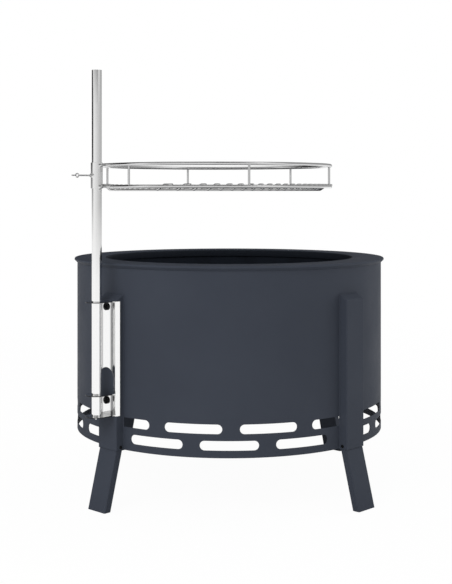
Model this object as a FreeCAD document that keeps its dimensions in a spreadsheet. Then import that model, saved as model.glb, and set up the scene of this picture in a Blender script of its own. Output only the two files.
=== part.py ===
import FreeCAD, Part
import math
import os

import Sketcher
from FreeCAD import Placement, Rotation, Vector

# Double-walled fire pit on four splayed legs, with a cooking grate that swings on a pole.
# Millimetres and degrees. The origin is the centre of the rim's flat top face, on the pit's axis.
# +Z is up, -Y is the front and +X is the right. Heights in the sheet are measured from the ground.

SIZES = [
    ("rim_height", 446.9, "ground to the rim's top face"),
    ("shell_radius", 305.0, "outside of the outer shell"),
    ("shell_sheet", 1.5, "sheet of the outer shell"),
    ("skirt_height", 108.5, "ground to the shell's lower edge"),
    ("fit_gap", 0.1, "gap between sheets that slip together"),
    ("slot_count", 14, "air slots in each row"),
    ("slot_length", 105.1, "length of an air slot, straight across"),
    ("slot_height", 17.0, "height of an air slot, with round ends"),
    ("lower_slot_rise", 21.7, "shell's lower edge to the lower row's middle"),
    ("upper_slot_rise", 50.7, "shell's lower edge to the upper row's middle"),
    ("lower_slot_turn", -1.08, "first lower slot, turned from the front"),
    ("upper_slot_turn", 12.34, "first upper slot, turned from the front"),
    ("rim_sheet", 3.2, "thickness of the rim ring"),
    ("rim_lip", 6.4, "depth of the rim's outer lip"),
    ("rim_roll", 5.5, "width of the rim's rolled outer lip"),
    ("rim_round", 2.6, "rounding of the rim's edges"),
    ("mouth_radius", 246.0, "opening of the rim"),
    ("mouth_lip", 14.0, "depth of the rim's inner lip"),
    ("chamber_sheet", 1.5, "sheet of the fire chamber"),
    ("chamber_height", 178.0, "ground to the fire chamber's underside"),
    ("chamber_flange", 20.0, "width of the chamber's bottom flange"),
    ("upper_hole_count", 36, "secondary air holes round the chamber"),
    ("upper_hole_radius", 5.0, "radius of a secondary air hole"),
    ("upper_hole_drop", 52.0, "rim's top face to the secondary air holes"),
    ("lower_hole_count", 24, "primary air holes round the chamber"),
    ("lower_hole_radius", 7.0, "radius of a primary air hole"),
    ("lower_hole_rise", 28.0, "chamber's underside to the primary air holes"),
    ("floor_sheet", 3.0, "thickness of the chamber floor"),
    ("floor_gap", 0.4, "gap round the chamber floor"),
    ("floor_hole_count", 16, "draught holes in the chamber floor"),
    ("floor_hole_radius", 8.0, "radius of a draught hole"),
    ("floor_hole_circle", 178.0, "radius of the draught holes' circle"),
    ("strap_width", 30.0, "width of a strap between the walls"),
    ("strap_height", 24.0, "height of a strap's flanges"),
    ("strap_sheet", 2.0, "sheet of a strap"),
    ("pan_radius", 117.5, "outside of the ash pan's bowl"),
    ("pan_sheet", 1.5, "sheet of the ash pan"),
    ("pan_depth", 42.0, "depth of the ash pan"),
    ("pan_flange", 9.0, "width of the ash pan's flange"),
    ("pan_gap", 0.5, "gap between the ash pan and the floor's opening"),
    ("bar_plate_sheet", 6.0, "thickness of the fire grate"),
    ("bar_plate_border", 14.0, "solid border of the fire grate"),
    ("bar_width", 9.0, "width of a bar of the fire grate"),
    ("bar_space", 11.0, "gap between two bars of the fire grate"),
    ("bar_gap_count", 9, "gaps across the fire grate"),
    ("leg_azimuth", 225.0, "front left leg, turned from +X"),
    ("channel_depth", 16.1, "shell to a leg channel's outer face"),
    ("channel_width", 50.3, "width of a leg channel"),
    ("channel_sheet", 1.5, "sheet of a leg channel"),
    ("cap_drop", 65.7, "rim's top face to the outer edge of a channel's cap"),
    ("cap_rise", 9.3, "rise of the cap from its outer edge to the shell"),
    ("channel_bend", 2.2, "outer radius of a channel's bends"),
    ("leg_splay", 14.4, "lean of a leg below its channel"),
    ("leg_wall", 1.5, "wall of a leg tube"),
    ("leg_bend", 2.0, "outer radius of a leg tube's corners"),
    ("leg_stub", 62.0, "length of leg inside its channel"),
    ("foot_plate", 3.0, "end plate of a leg"),
    ("leg_screw_radius", 2.0, "shank of a leg screw"),
    ("leg_screw_length", 7.0, "length of a leg screw under its head"),
    ("leg_screw_head_radius", 3.1, "head of a leg screw"),
    ("leg_screw_head", 1.9, "height of a leg screw's head"),
    ("leg_screw_rise", 5.0, "channel's lower edge to a leg screw"),
    ("leg_screw_depth", 5.6, "shell to a leg screw's axis"),
    ("bracket_sheet", 1.5, "sheet of the pole bracket"),
    ("bracket_side", 9.2, "depth of the pole bracket's sides"),
    ("bracket_rise", 62.8, "shell's lower edge to the bracket's underside"),
    ("bracket_drop", 2.2, "cap's outer edge to the bracket's top"),
    ("bracket_bend", 3.0, "outer radius of the bracket's bends"),
    ("tongue_rise", 40.0, "bracket's underside to the top of the middle tongue"),
    ("tab_margin", 4.55, "leg channel's side to a tab's side"),
    ("pole_offset", 24.5, "leg channel's face to the pole's axis"),
    ("upper_bolt_drop", 10.4, "bracket's top to the upper bolt"),
    ("lower_bolt_rise", 26.8, "bracket's underside to the lower bolt"),
    ("bolt_radius", 3.0, "shank of a bracket bolt"),
    ("bolt_length", 9.5, "length of a bracket bolt under its head"),
    ("bolt_head_radius", 6.8, "head of a bracket bolt"),
    ("bolt_head", 4.4, "height of a bracket bolt's domed head"),
    ("bolt_side", 2.6, "height of the straight side of a bolt's head"),
    ("bolt_socket", 2.3, "corner radius of a bolt's hexagon socket"),
    ("bolt_socket_depth", 2.0, "depth of a bolt's hexagon socket"),
    ("bolt_gap", 0.3, "gap round a bolt in its hole"),
    ("nut_corner", 5.77, "corner radius of a bracket nut"),
    ("nut_height", 5.0, "height of a bracket nut"),
    ("pole_radius", 9.0, "outside of the pole"),
    ("pole_wall", 1.5, "wall of the pole"),
    ("pole_top", 797.7, "ground to the pole's top"),
    ("pole_gap", 0.1, "gap round the pole in the tabs and the collar"),
    ("plug_length", 14.0, "length of the plug in the pole's top"),
    ("collar_wall", 1.65, "wall of the grate's collar"),
    ("collar_height", 583.6, "ground to the collar's lower edge"),
    ("collar_length", 46.8, "length of the collar"),
    ("ring_radius", 215.2, "middle of a grate ring's wire"),
    ("ring_wire", 3.0, "radius of a grate ring's wire"),
    ("lower_ring_rise", 3.4, "collar's lower edge to the lower ring"),
    ("upper_ring_drop", 4.4, "collar's upper edge to the upper ring"),
    ("weld_bite", 0.15, "depth to which welded wires sink together"),
    ("grate_turn", 19.7, "grate's middle seen from the pole, turned from +X"),
    ("basket_turn", -4.8, "posts and rods, turned from the grate's own direction"),
    ("post_count", 6, "posts between the grate's rings"),
    ("post_radius", 2.0, "radius of a post"),
    ("rod_count", 26, "rods of the cooking floor"),
    ("rod_edge", 17.95, "ring's middle to the outermost rod"),
    ("rod_radius", 1.8, "radius of a rod"),
    ("rod_drop", 6.0, "rods' middle plane below the lower ring"),
    ("rod_bend_run", 18.0, "run over which a rod's end rises"),
    ("rod_bend", 6.0, "radius of a rod's bends"),
    ("rod_gap", 0.6, "gap between a rising rod and the ring"),
    ("rod_set", 1.8, "depth to which a rod's end is pressed into the lower ring"),
    ("rod_over", 2.4, "lower ring's middle to a rod's end"),
    ("rod_turn", -60.0, "rods' direction, turned from the posts' own"),
    ("screw_turn", 204.3, "lock screw, turned from the grate's own direction"),
    ("screw_rise", 23.4, "collar's lower edge to the lock screw"),
    ("screw_radius", 1.5, "shank of the lock screw"),
    ("screw_tip_gap", 0.3, "gap between the lock screw and the pole"),
    ("eye_distance", 44.3, "pole's axis to the middle of the screw's eye"),
    ("eye_radius", 3.2, "middle of the eye's wire"),
    ("eye_wire", 1.1, "radius of the eye's wire"),
    ("tail_length", 8.3, "eye's outside to the end of the screw's tail"),
    ("boss_radius", 3.6, "weld boss on the collar"),
    ("boss_length", 3.0, "length of the weld boss"),
]

LEGS = ["front_left", "front_right", "rear_right", "rear_left"]
STRAPS = ["front", "right", "rear", "left"]
LEG_STEP = 90
# How far a cutting shape runs past the faces it cuts, and how near two places count as the same.
OVERRUN = 5.0
TOUCH = 0.01

doc = FreeCAD.newDocument("fire_pit")
sheet = doc.addObject("Spreadsheet::Sheet", "Sizes")
for row, (alias, value, meaning) in enumerate(SIZES, start=1):
    sheet.set(f"A{row}", meaning)
    sheet.set(f"B{row}", str(value))
    sheet.setAlias(f"B{row}", alias)
doc.recompute()

nodes = []


def size(alias):
    """A size from the sheet, as a plain number."""
    return float(getattr(sheet, alias))


def level(height):
    """The Z of a height above the ground, as an expression."""
    return f"({height}) - Sizes.rim_height"


def value_of(expression):
    """The present number that an expression gives."""
    return float(sheet.evalExpression(expression))


def bind(thing, **expressions):
    """Tie properties of an object to expressions of the sheet."""
    for prop, expression in expressions.items():
        thing.setExpression(prop, str(expression))


def place(thing, x="0", y="0", z="0", turn="0"):
    """Tie an object's place, and its turn about its own Z axis."""
    thing.setExpression("Placement.Base.x", x)
    thing.setExpression("Placement.Base.y", y)
    thing.setExpression("Placement.Base.z", z)
    thing.setExpression("Placement.Rotation.Angle", turn)
    return thing


def node(thing, label):
    """Name an object as one of the part's pieces."""
    thing.Label = label
    nodes.append(thing)
    return thing


def box(name, length, width, height, x="0", z="0"):
    """A box that starts at x and z and is centred on Y."""
    made = doc.addObject("Part::Box", name)
    bind(made, Length=length, Width=width, Height=height)
    return place(made, x, f"-({width}) / 2", z)


def cylinder(name, radius, height, x="0", y="0", z="0"):
    """An upright cylinder."""
    made = doc.addObject("Part::Cylinder", name)
    bind(made, Radius=radius, Height=height)
    return place(made, x, y, z)


def lying_cylinder(name, axis, radius, height, x="0", y="0", z="0"):
    """A cylinder that runs along +X or +Y from the given point."""
    made = doc.addObject("Part::Cylinder", name)
    bind(made, Radius=radius, Height=height)
    tilt = Rotation(Vector(0, 1, 0), 90) if axis == "x" else Rotation(Vector(1, 0, 0), -90)
    made.Placement = Placement(Vector(0, 0, 0), tilt)
    made.setExpression("Placement.Base.x", x)
    made.setExpression("Placement.Base.y", y)
    made.setExpression("Placement.Base.z", z)
    return made


def fuse(name, pieces):
    """One solid of several that meet or overlap."""
    made = doc.addObject("Part::MultiFuse", name)
    made.Shapes = pieces
    made.Refine = True
    return made


def cut(name, base, tools):
    """A solid with one or more others taken out of it."""
    made = doc.addObject("Part::Cut", name)
    made.Base = base
    made.Tool = tools[0] if len(tools) == 1 else fuse(name + "_tools", tools)
    made.Refine = True
    return made


def common(name, first, second):
    """The space that two solids share."""
    made = doc.addObject("Part::MultiCommon", name)
    made.Shapes = [first, second]
    return made


def group(name, pieces):
    """Identical solids that share one node."""
    made = doc.addObject("Part::Compound", name)
    made.Links = pieces
    return made


def tube(name, outer, inner, height, z="0"):
    """An upright tube on the origin's axis."""
    bore = cylinder(name + "_bore", inner, f"({height}) + {2 * OVERRUN}", z=f"({z}) - {OVERRUN}")
    return cut(name, cylinder(name + "_bar", outer, height, z=z), [bore])


def origin_feature(body, role):
    """One of a body's own origin planes or axes."""
    return next(f for f in body.Origin.OriginFeatures if f.Role == role)


def new_sketch(body, name, role):
    """A sketch on one of a body's origin planes."""
    sketch = body.newObject("Sketcher::SketchObject", name)
    sketch.AttachmentSupport = [(origin_feature(body, role), "")]
    sketch.MapMode = "FlatFace"
    return sketch


def tie(sketch, constraint, expression):
    """Add a sketch constraint whose size is an expression."""
    index = sketch.addConstraint(constraint)
    sketch.setExpression(f"Constraints[{index}]", expression)


def outline(body, name, points):
    """A closed outline of straight lines in the XZ plane, each corner tied to two expressions."""
    sketch = new_sketch(body, name, "XZ_Plane")
    corners = [Vector(value_of(x), value_of(z), 0) for x, z in points]
    count = len(corners)
    for i in range(count):
        sketch.addGeometry(Part.LineSegment(corners[i], corners[(i + 1) % count]), False)
    for i in range(count):
        sketch.addConstraint(Sketcher.Constraint("Coincident", i, 2, (i + 1) % count, 1))
    for i, (x, z) in enumerate(points):
        tie(sketch, Sketcher.Constraint("DistanceX", -1, 1, i, 1, corners[i].x), x)
        tie(sketch, Sketcher.Constraint("DistanceY", -1, 1, i, 1, corners[i].y), z)
    return sketch


def circle(sketch, radius, x="0", y="0"):
    """A circle in a sketch, with its radius and centre tied to expressions."""
    centre = Vector(value_of(x), value_of(y), 0)
    index = sketch.addGeometry(Part.Circle(centre, Vector(0, 0, 1), value_of(radius)), False)
    tie(sketch, Sketcher.Constraint("Radius", index, value_of(radius)), radius)
    if x == "0" and y == "0":
        sketch.addConstraint(Sketcher.Constraint("Coincident", index, 3, -1, 1))
        return
    tie(sketch, Sketcher.Constraint("DistanceX", -1, 1, index, 3, centre.x), x)
    tie(sketch, Sketcher.Constraint("DistanceY", -1, 1, index, 3, centre.y), y)


def slot(sketch, length, height, z):
    """A round-ended slot in a sketch, lying along X with its middle at z."""
    radius = value_of(height) / 2
    half = value_of(length) / 2 - radius
    middle = value_of(z)
    up = Vector(0, 0, 1)
    left = Part.Circle(Vector(-half, middle, 0), up, radius)
    right = Part.Circle(Vector(half, middle, 0), up, radius)
    sketch.addGeometry(Part.ArcOfCircle(left, math.pi / 2, 3 * math.pi / 2), False)
    low = Part.LineSegment(Vector(-half, middle - radius, 0), Vector(half, middle - radius, 0))
    sketch.addGeometry(low, False)
    sketch.addGeometry(Part.ArcOfCircle(right, -math.pi / 2, math.pi / 2), False)
    high = Part.LineSegment(Vector(half, middle + radius, 0), Vector(-half, middle + radius, 0))
    sketch.addGeometry(high, False)
    for i in range(4):
        sketch.addConstraint(Sketcher.Constraint("Tangent", i, 2, (i + 1) % 4, 1))
    sketch.addConstraint(Sketcher.Constraint("Horizontal", 1))
    sketch.addConstraint(Sketcher.Constraint("Equal", 0, 2))
    tie(sketch, Sketcher.Constraint("Radius", 0, radius), f"({height}) / 2")
    tie(sketch, Sketcher.Constraint("DistanceX", -1, 1, 0, 3, -half), f"-(({length}) - ({height})) / 2")
    tie(sketch, Sketcher.Constraint("DistanceX", -1, 1, 2, 3, half), f"(({length}) - ({height})) / 2")
    tie(sketch, Sketcher.Constraint("DistanceY", -1, 1, 0, 3, middle), z)


def revolve(body, name, sketch):
    """A full turn of an outline about the body's Z axis."""
    made = body.newObject("PartDesign::Revolution", name)
    made.Profile = sketch
    made.ReferenceAxis = (sketch, ["V_Axis"])
    made.Angle = 360
    return made


def pad(body, name, sketch, length, symmetric=False):
    """An outline given a thickness."""
    made = body.newObject("PartDesign::Pad", name)
    made.Profile = sketch
    made.SideType = "Symmetric" if symmetric else "One side"
    bind(made, Length=length)
    return made


def pocket(body, name, sketch, length, symmetric=False, forward=False):
    """An outline cut to a depth."""
    made = body.newObject("PartDesign::Pocket", name)
    made.Profile = sketch
    made.SideType = "Symmetric" if symmetric else "One side"
    made.Reversed = forward
    bind(made, Length=length)
    return made


def repeat_round(body, feature, name, count):
    """A feature repeated evenly round the body's Z axis."""
    made = body.newObject("PartDesign::PolarPattern", name)
    made.Originals = [feature]
    made.Axis = (origin_feature(body, "Z_Axis"), [""])
    made.Angle = 360
    bind(made, Occurrences=count)
    body.Tip = made
    return made


def wall_row(body, name, inside, outside, turn, count, draw):
    """A row of openings cut outwards through a round wall, the first at the front, repeated round it."""
    sketch = new_sketch(body, name + "_outline", "XZ_Plane")
    sketch.AttachmentOffset = Placement(Vector(0, 0, 0), Rotation(Vector(0, 1, 0), value_of(turn)))
    draw(sketch)
    sketch.setExpression("AttachmentOffset.Base.x", f"({inside}) * sin({turn})")
    sketch.setExpression("AttachmentOffset.Base.z", f"({inside}) * cos({turn})")
    sketch.setExpression("AttachmentOffset.Rotation.Angle", turn)
    opening = pocket(body, name, sketch, f"{outside} - ({inside}) + {OVERRUN}", forward=True)
    repeat_round(body, opening, name + "_row", count)


def round_edges(body, name, base, wanted, radius):
    """Round the circular edges of a turned piece that lie at the wanted (radius, z) places."""
    doc.recompute()
    names = []
    for i, edge in enumerate(base.Shape.Edges, start=1):
        ring = edge.Curve
        if not isinstance(ring, Part.Circle):
            continue
        if any(abs(ring.Radius - r) < TOUCH and abs(ring.Center.z - z) < TOUCH for r, z in wanted):
            names.append(f"Edge{i}")
    made = body.newObject("PartDesign::Fillet", name)
    made.Base = (base, names)
    bind(made, Radius=radius)
    body.Tip = made
    return made


def round_bends(body, name, base, radius, is_bend):
    """Round the straight edges of a folded piece that the test picks by their two ends."""
    doc.recompute()
    names = []
    for i, edge in enumerate(base.Shape.Edges, start=1):
        ends = [vertex.Point for vertex in edge.Vertexes]
        if len(ends) == 2 and is_bend(*ends):
            names.append(f"Edge{i}")
    made = body.newObject("PartDesign::Fillet", name)
    made.Base = (base, names)
    bind(made, Radius=radius)
    body.Tip = made
    return made


# Levels and radii that several pieces share.
SKIRT = level("Sizes.skirt_height")
SHELL_INSIDE = "Sizes.shell_radius - Sizes.shell_sheet"
RIM_OUTSIDE = "Sizes.shell_radius + Sizes.fit_gap + Sizes.rim_roll"
CHAMBER_INSIDE = "Sizes.mouth_radius + Sizes.rim_sheet + Sizes.fit_gap"
CHAMBER_OUTSIDE = f"{CHAMBER_INSIDE} + Sizes.chamber_sheet"
CHAMBER_BOTTOM = level("Sizes.chamber_height")
FLOOR_BOTTOM = f"{CHAMBER_BOTTOM} + Sizes.chamber_sheet"
FLOOR_TOP = f"{FLOOR_BOTTOM} + Sizes.floor_sheet"
PAN_FLANGE = "Sizes.pan_radius + Sizes.pan_flange"
PAN_RIM = f"{FLOOR_TOP} + Sizes.pan_sheet"
CHANNEL_FACE = "Sizes.shell_radius + Sizes.channel_depth"
POLE_DISTANCE = f"{CHANNEL_FACE} + Sizes.pole_offset"
POLE_X = f"({POLE_DISTANCE}) * cos(Sizes.leg_azimuth)"
POLE_Y = f"({POLE_DISTANCE}) * sin(Sizes.leg_azimuth)"
CAP_EDGE = "-Sizes.cap_drop"
BRACKET_TOP = f"({CAP_EDGE} - Sizes.bracket_drop)"
BRACKET_BOTTOM = f"({SKIRT} + Sizes.bracket_rise)"
TONGUE_TOP = f"({BRACKET_BOTTOM} + Sizes.tongue_rise)"
TAB_RADIUS = "(Sizes.channel_width / 2 - Sizes.tab_margin)"
BOLT_LEVELS = {
    "upper": f"{BRACKET_TOP} - Sizes.upper_bolt_drop",
    "lower": f"{BRACKET_BOTTOM} + Sizes.lower_bolt_rise",
}
COLLAR_BOTTOM = level("Sizes.collar_height")
COLLAR_OUTSIDE = "Sizes.pole_radius + Sizes.pole_gap + Sizes.collar_wall"
GRATE_REACH = f"{COLLAR_OUTSIDE} + Sizes.ring_radius + Sizes.ring_wire - Sizes.weld_bite"
RING_RISES = {"lower": "Sizes.lower_ring_rise", "upper": "(Sizes.collar_length - Sizes.upper_ring_drop)"}


def make_outer_shell():
    """Round outer wall with two staggered rows of air slots along its lower edge."""
    body = doc.addObject("PartDesign::Body", "shell_body")
    section = outline(body, "shell_section", [
        (SHELL_INSIDE, SKIRT),
        ("Sizes.shell_radius", SKIRT),
        ("Sizes.shell_radius", "-Sizes.rim_sheet"),
        (SHELL_INSIDE, "-Sizes.rim_sheet"),
    ])
    revolve(body, "shell_wall", section)
    for row in ("lower", "upper"):
        middle = f"{SKIRT} + Sizes.{row}_slot_rise"
        wall_row(
            body, f"{row}_slot", f"{SHELL_INSIDE} - Sizes.slot_length / 2", "Sizes.shell_radius",
            f"Sizes.{row}_slot_turn", "Sizes.slot_count",
            lambda sketch, z=middle: slot(sketch, "Sizes.slot_length", "Sizes.slot_height", z),
        )
    return node(body, "outer_shell")


def make_top_ring():
    """Flat rim that closes the gap between the two walls, with a rolled outer lip and a lip turned down inside."""
    body = doc.addObject("PartDesign::Body", "rim_body")
    section = outline(body, "rim_section", [
        ("Sizes.mouth_radius", "-Sizes.mouth_lip"),
        ("Sizes.mouth_radius + Sizes.rim_sheet", "-Sizes.mouth_lip"),
        ("Sizes.mouth_radius + Sizes.rim_sheet", "-Sizes.rim_sheet"),
        ("Sizes.shell_radius + Sizes.fit_gap", "-Sizes.rim_sheet"),
        ("Sizes.shell_radius + Sizes.fit_gap", "-Sizes.rim_lip"),
        (RIM_OUTSIDE, "-Sizes.rim_lip"),
        (RIM_OUTSIDE, "0"),
        ("Sizes.mouth_radius", "0"),
    ])
    ring = revolve(body, "rim_ring", section)
    rolled = value_of(RIM_OUTSIDE)
    soft_edges = [(rolled, 0.0), (rolled, -size("rim_lip")), (size("mouth_radius"), 0.0)]
    round_edges(body, "rim_edges", ring, soft_edges, "Sizes.rim_round")
    return node(body, "top_ring")


def make_fire_chamber():
    """Inner wall with a bottom flange, secondary air holes near the rim and primary ones near the floor."""
    body = doc.addObject("PartDesign::Body", "chamber_body")
    flange = f"{CHAMBER_INSIDE} - Sizes.chamber_flange"
    section = outline(body, "chamber_section", [
        (flange, CHAMBER_BOTTOM),
        (CHAMBER_OUTSIDE, CHAMBER_BOTTOM),
        (CHAMBER_OUTSIDE, "-Sizes.rim_sheet"),
        (CHAMBER_INSIDE, "-Sizes.rim_sheet"),
        (CHAMBER_INSIDE, FLOOR_BOTTOM),
        (flange, FLOOR_BOTTOM),
    ])
    revolve(body, "chamber_wall", section)
    rows = [("upper", "-Sizes.upper_hole_drop"), ("lower", f"{CHAMBER_BOTTOM} + Sizes.lower_hole_rise")]
    for row, middle in rows:
        wall_row(
            body, f"{row}_hole", f"{CHAMBER_INSIDE} - Sizes.{row}_hole_radius", CHAMBER_OUTSIDE,
            "0", f"Sizes.{row}_hole_count",
            lambda sketch, r=row, z=middle: circle(sketch, f"Sizes.{r}_hole_radius", "0", z),
        )
    return node(body, "fire_chamber")


def make_chamber_floor():
    """Round plate on the chamber's flange, with draught holes and an opening for the ash pan."""
    body = doc.addObject("PartDesign::Body", "floor_body")
    plate = new_sketch(body, "floor_outline", "XY_Plane")
    plate.setExpression("AttachmentOffset.Base.z", FLOOR_BOTTOM)
    circle(plate, f"{CHAMBER_INSIDE} - Sizes.floor_gap")
    circle(plate, "Sizes.pan_radius + Sizes.pan_gap")
    pad(body, "floor_plate", plate, "Sizes.floor_sheet")
    hole = new_sketch(body, "draught_outline", "XY_Plane")
    hole.setExpression("AttachmentOffset.Base.z", FLOOR_TOP)
    circle(hole, "Sizes.floor_hole_radius", "Sizes.floor_hole_circle", "0")
    opening = pocket(body, "draught_hole", hole, f"Sizes.floor_sheet + {OVERRUN}")
    repeat_round(body, opening, "draught_holes", "Sizes.floor_hole_count")
    return node(body, "chamber_floor")


def make_wall_straps():
    """Channel-shaped straps that hold the fire chamber's foot in the middle of the shell."""
    straps = []
    for i, side in enumerate(STRAPS):
        name = f"strap_{side}"
        reach = f"{SHELL_INSIDE} + {OVERRUN}"
        block = box(name + "_block", reach, "Sizes.strap_width", "Sizes.strap_height", z=CHAMBER_BOTTOM)
        gap = tube(name + "_gap", SHELL_INSIDE, CHAMBER_OUTSIDE, "Sizes.strap_height", CHAMBER_BOTTOM)
        room = tube(
            name + "_room",
            f"{SHELL_INSIDE} - Sizes.strap_sheet",
            f"{CHAMBER_OUTSIDE} + Sizes.strap_sheet",
            "Sizes.strap_height",
            f"{CHAMBER_BOTTOM} + Sizes.strap_sheet",
        )
        strap = cut(name, common(name + "_piece", block, gap), [room])
        straps.append(place(strap, turn=f"{LEG_STEP * i} - {LEG_STEP}"))
    return node(group("straps", straps), "wall_straps")


def make_ash_pan():
    """Round pan that hangs by its flange in the chamber floor's opening."""
    bowl = cylinder("pan_bowl", "Sizes.pan_radius", "Sizes.pan_depth", z=f"{PAN_RIM} - Sizes.pan_depth")
    flange = cylinder("pan_flange_disc", PAN_FLANGE, "Sizes.pan_sheet", z=FLOOR_TOP)
    inside = cylinder(
        "pan_inside", "Sizes.pan_radius - Sizes.pan_sheet", "Sizes.pan_depth",
        z=f"{PAN_RIM} - Sizes.pan_depth + Sizes.pan_sheet",
    )
    return node(cut("pan", fuse("pan_blank", [bowl, flange]), [inside]), "ash_pan")


def make_fire_grate():
    """Round barred plate that lies on the ash pan's flange."""
    plate = cylinder("bar_plate", PAN_FLANGE, "Sizes.bar_plate_sheet", z=PAN_RIM)
    inside = f"({PAN_FLANGE} - Sizes.bar_plate_border)"
    gaps = []
    count = int(size("bar_gap_count"))
    for i in range(count):
        across = f"({i} - {(count - 1) / 2}) * (Sizes.bar_width + Sizes.bar_space)"
        length = f"2 * sqrt({inside}^2 - (abs({across}) + Sizes.bar_space / 2)^2)"
        gap = doc.addObject("Part::Box", f"bar_gap_{i + 1}")
        bind(gap, Length=length, Width="Sizes.bar_space", Height=f"Sizes.bar_plate_sheet + {2 * OVERRUN}")
        place(gap, f"-({length}) / 2", f"{across} - Sizes.bar_space / 2", f"{PAN_RIM} - {OVERRUN}")
        gaps.append(gap)
    return node(cut("barred_plate", plate, gaps), "fire_grate")


def leg_turn(index):
    """The turn of a leg about the pit's axis."""
    return f"Sizes.leg_azimuth + {LEG_STEP * index}"


def leg_screw_tools(name, radius):
    """A bar across the leg on the axis of its two screws."""
    return lying_cylinder(
        name, "y", radius, f"Sizes.channel_width + {2 * OVERRUN}",
        "Sizes.shell_radius + Sizes.leg_screw_depth",
        f"-Sizes.channel_width / 2 - {OVERRUN}",
        f"{SKIRT} + Sizes.leg_screw_rise",
    )


def bracket_bolt_tool(name, row):
    """A bar on the axis of a bracket bolt, through the bracket and the channel's face."""
    return lying_cylinder(
        name, "x", "Sizes.bolt_radius + Sizes.bolt_gap",
        f"Sizes.channel_sheet + Sizes.bracket_sheet + {2 * OVERRUN}",
        f"{CHANNEL_FACE} - Sizes.channel_sheet - {OVERRUN}", "0", BOLT_LEVELS[row],
    )


def make_leg_channel(index, side):
    """Folded sheet channel welded to the shell, closed by a sloping cap and open below for the leg."""
    body = doc.addObject("PartDesign::Body", f"channel_body_{side}")
    slope = "Sizes.cap_rise / Sizes.channel_depth"
    inside = f"Sizes.shell_radius - {OVERRUN}"
    back_top = f"{CAP_EDGE} + {slope} * (Sizes.channel_depth + {OVERRUN})"
    cap = f"Sizes.channel_sheet * sqrt(1 + ({slope})^2)"
    skin = outline(body, f"channel_skin_{side}", [
        (inside, SKIRT),
        (CHANNEL_FACE, SKIRT),
        (CHANNEL_FACE, CAP_EDGE),
        (inside, back_top),
    ])
    block = pad(body, f"channel_block_{side}", skin, "Sizes.channel_width", symmetric=True)
    face = value_of(CHANNEL_FACE)
    shoulder = value_of(CAP_EDGE)

    def is_fold(start, end):
        return max(start.z, end.z) > shoulder - TOUCH and max(start.x, end.x) > face - TOUCH

    round_bends(body, f"channel_folds_{side}", block, "Sizes.channel_bend", is_fold)
    hollow = outline(body, f"channel_hollow_{side}", [
        (f"{inside} - {OVERRUN}", f"{SKIRT} - {OVERRUN}"),
        (f"{CHANNEL_FACE} - Sizes.channel_sheet", f"{SKIRT} - {OVERRUN}"),
        (f"{CHANNEL_FACE} - Sizes.channel_sheet", f"{CAP_EDGE} + {slope} * Sizes.channel_sheet - {cap}"),
        (f"{inside} - {OVERRUN}", f"{back_top} + {slope} * {OVERRUN} - {cap}"),
    ])
    inner_width = "Sizes.channel_width - 2 * Sizes.channel_sheet"
    pocket(body, f"channel_room_{side}", hollow, inner_width, symmetric=True)
    wall = cylinder(f"channel_wall_{side}", "Sizes.shell_radius", "Sizes.rim_height", z=level("0"))
    tools = [wall, leg_screw_tools(f"channel_screw_{side}", "Sizes.leg_screw_radius + Sizes.fit_gap")]
    if index == 0:
        tools.extend(bracket_bolt_tool(f"channel_{row}_bolt", row) for row in BOLT_LEVELS)
    channel = cut(f"channel_{side}", body, tools)
    return node(place(channel, turn=leg_turn(index)), f"leg_channel_{side}")


def make_leg(index, side):
    """Flat tube that stands in its channel and splays outwards below it, closed by a flat foot."""
    body = doc.addObject("PartDesign::Body", f"leg_body_{side}")
    front = f"{CHANNEL_FACE} - Sizes.channel_sheet - Sizes.fit_gap"
    depth = "(Sizes.channel_depth - Sizes.channel_sheet - 2 * Sizes.fit_gap)"
    top = f"{SKIRT} + Sizes.leg_stub"
    lean = "tan(Sizes.leg_splay)"
    mitre = "tan(Sizes.leg_splay / 2)"
    along = "cos(Sizes.leg_splay)"
    ground = level("0")
    foot = f"{front} + Sizes.skirt_height * {lean}"
    skin = outline(body, f"leg_skin_{side}", [
        (f"{front} - {depth}", top),
        (front, top),
        (front, SKIRT),
        (foot, ground),
        (f"{foot} - {depth} / {along}", ground),
        (f"{front} - {depth}", f"{SKIRT} - {depth} * {mitre}"),
    ])
    width = "Sizes.channel_width - 2 * Sizes.channel_sheet - 2 * Sizes.fit_gap"
    bar = pad(body, f"leg_bar_{side}", skin, width, symmetric=True)

    def is_corner(start, end):
        return abs(start.z - end.z) > TOUCH and abs(start.y - end.y) < TOUCH

    round_bends(body, f"leg_corners_{side}", bar, "Sizes.leg_bend", is_corner)
    back = f"({depth} - Sizes.leg_wall)"
    sole = f"{ground} + Sizes.foot_plate"
    sole_front = f"{front} + (Sizes.skirt_height - Sizes.foot_plate) * {lean}"
    hollow = outline(body, f"leg_hollow_{side}", [
        (f"{front} - {back}", f"{top} + {OVERRUN}"),
        (f"{front} - Sizes.leg_wall", f"{top} + {OVERRUN}"),
        (f"{front} - Sizes.leg_wall", f"{SKIRT} - Sizes.leg_wall * {mitre}"),
        (f"{sole_front} - Sizes.leg_wall / {along}", sole),
        (f"{sole_front} - {back} / {along}", sole),
        (f"{front} - {back}", f"{SKIRT} - {back} * {mitre}"),
    ])
    pocket(body, f"leg_bore_{side}", hollow, f"{width} - 2 * Sizes.leg_wall", symmetric=True)
    screw = leg_screw_tools(f"leg_screw_hole_{side}", "Sizes.leg_screw_radius + Sizes.fit_gap")
    leg = cut(f"leg_{side}_tube", body, [screw])
    return node(place(leg, turn=leg_turn(index)), f"leg_{side}")


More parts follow.
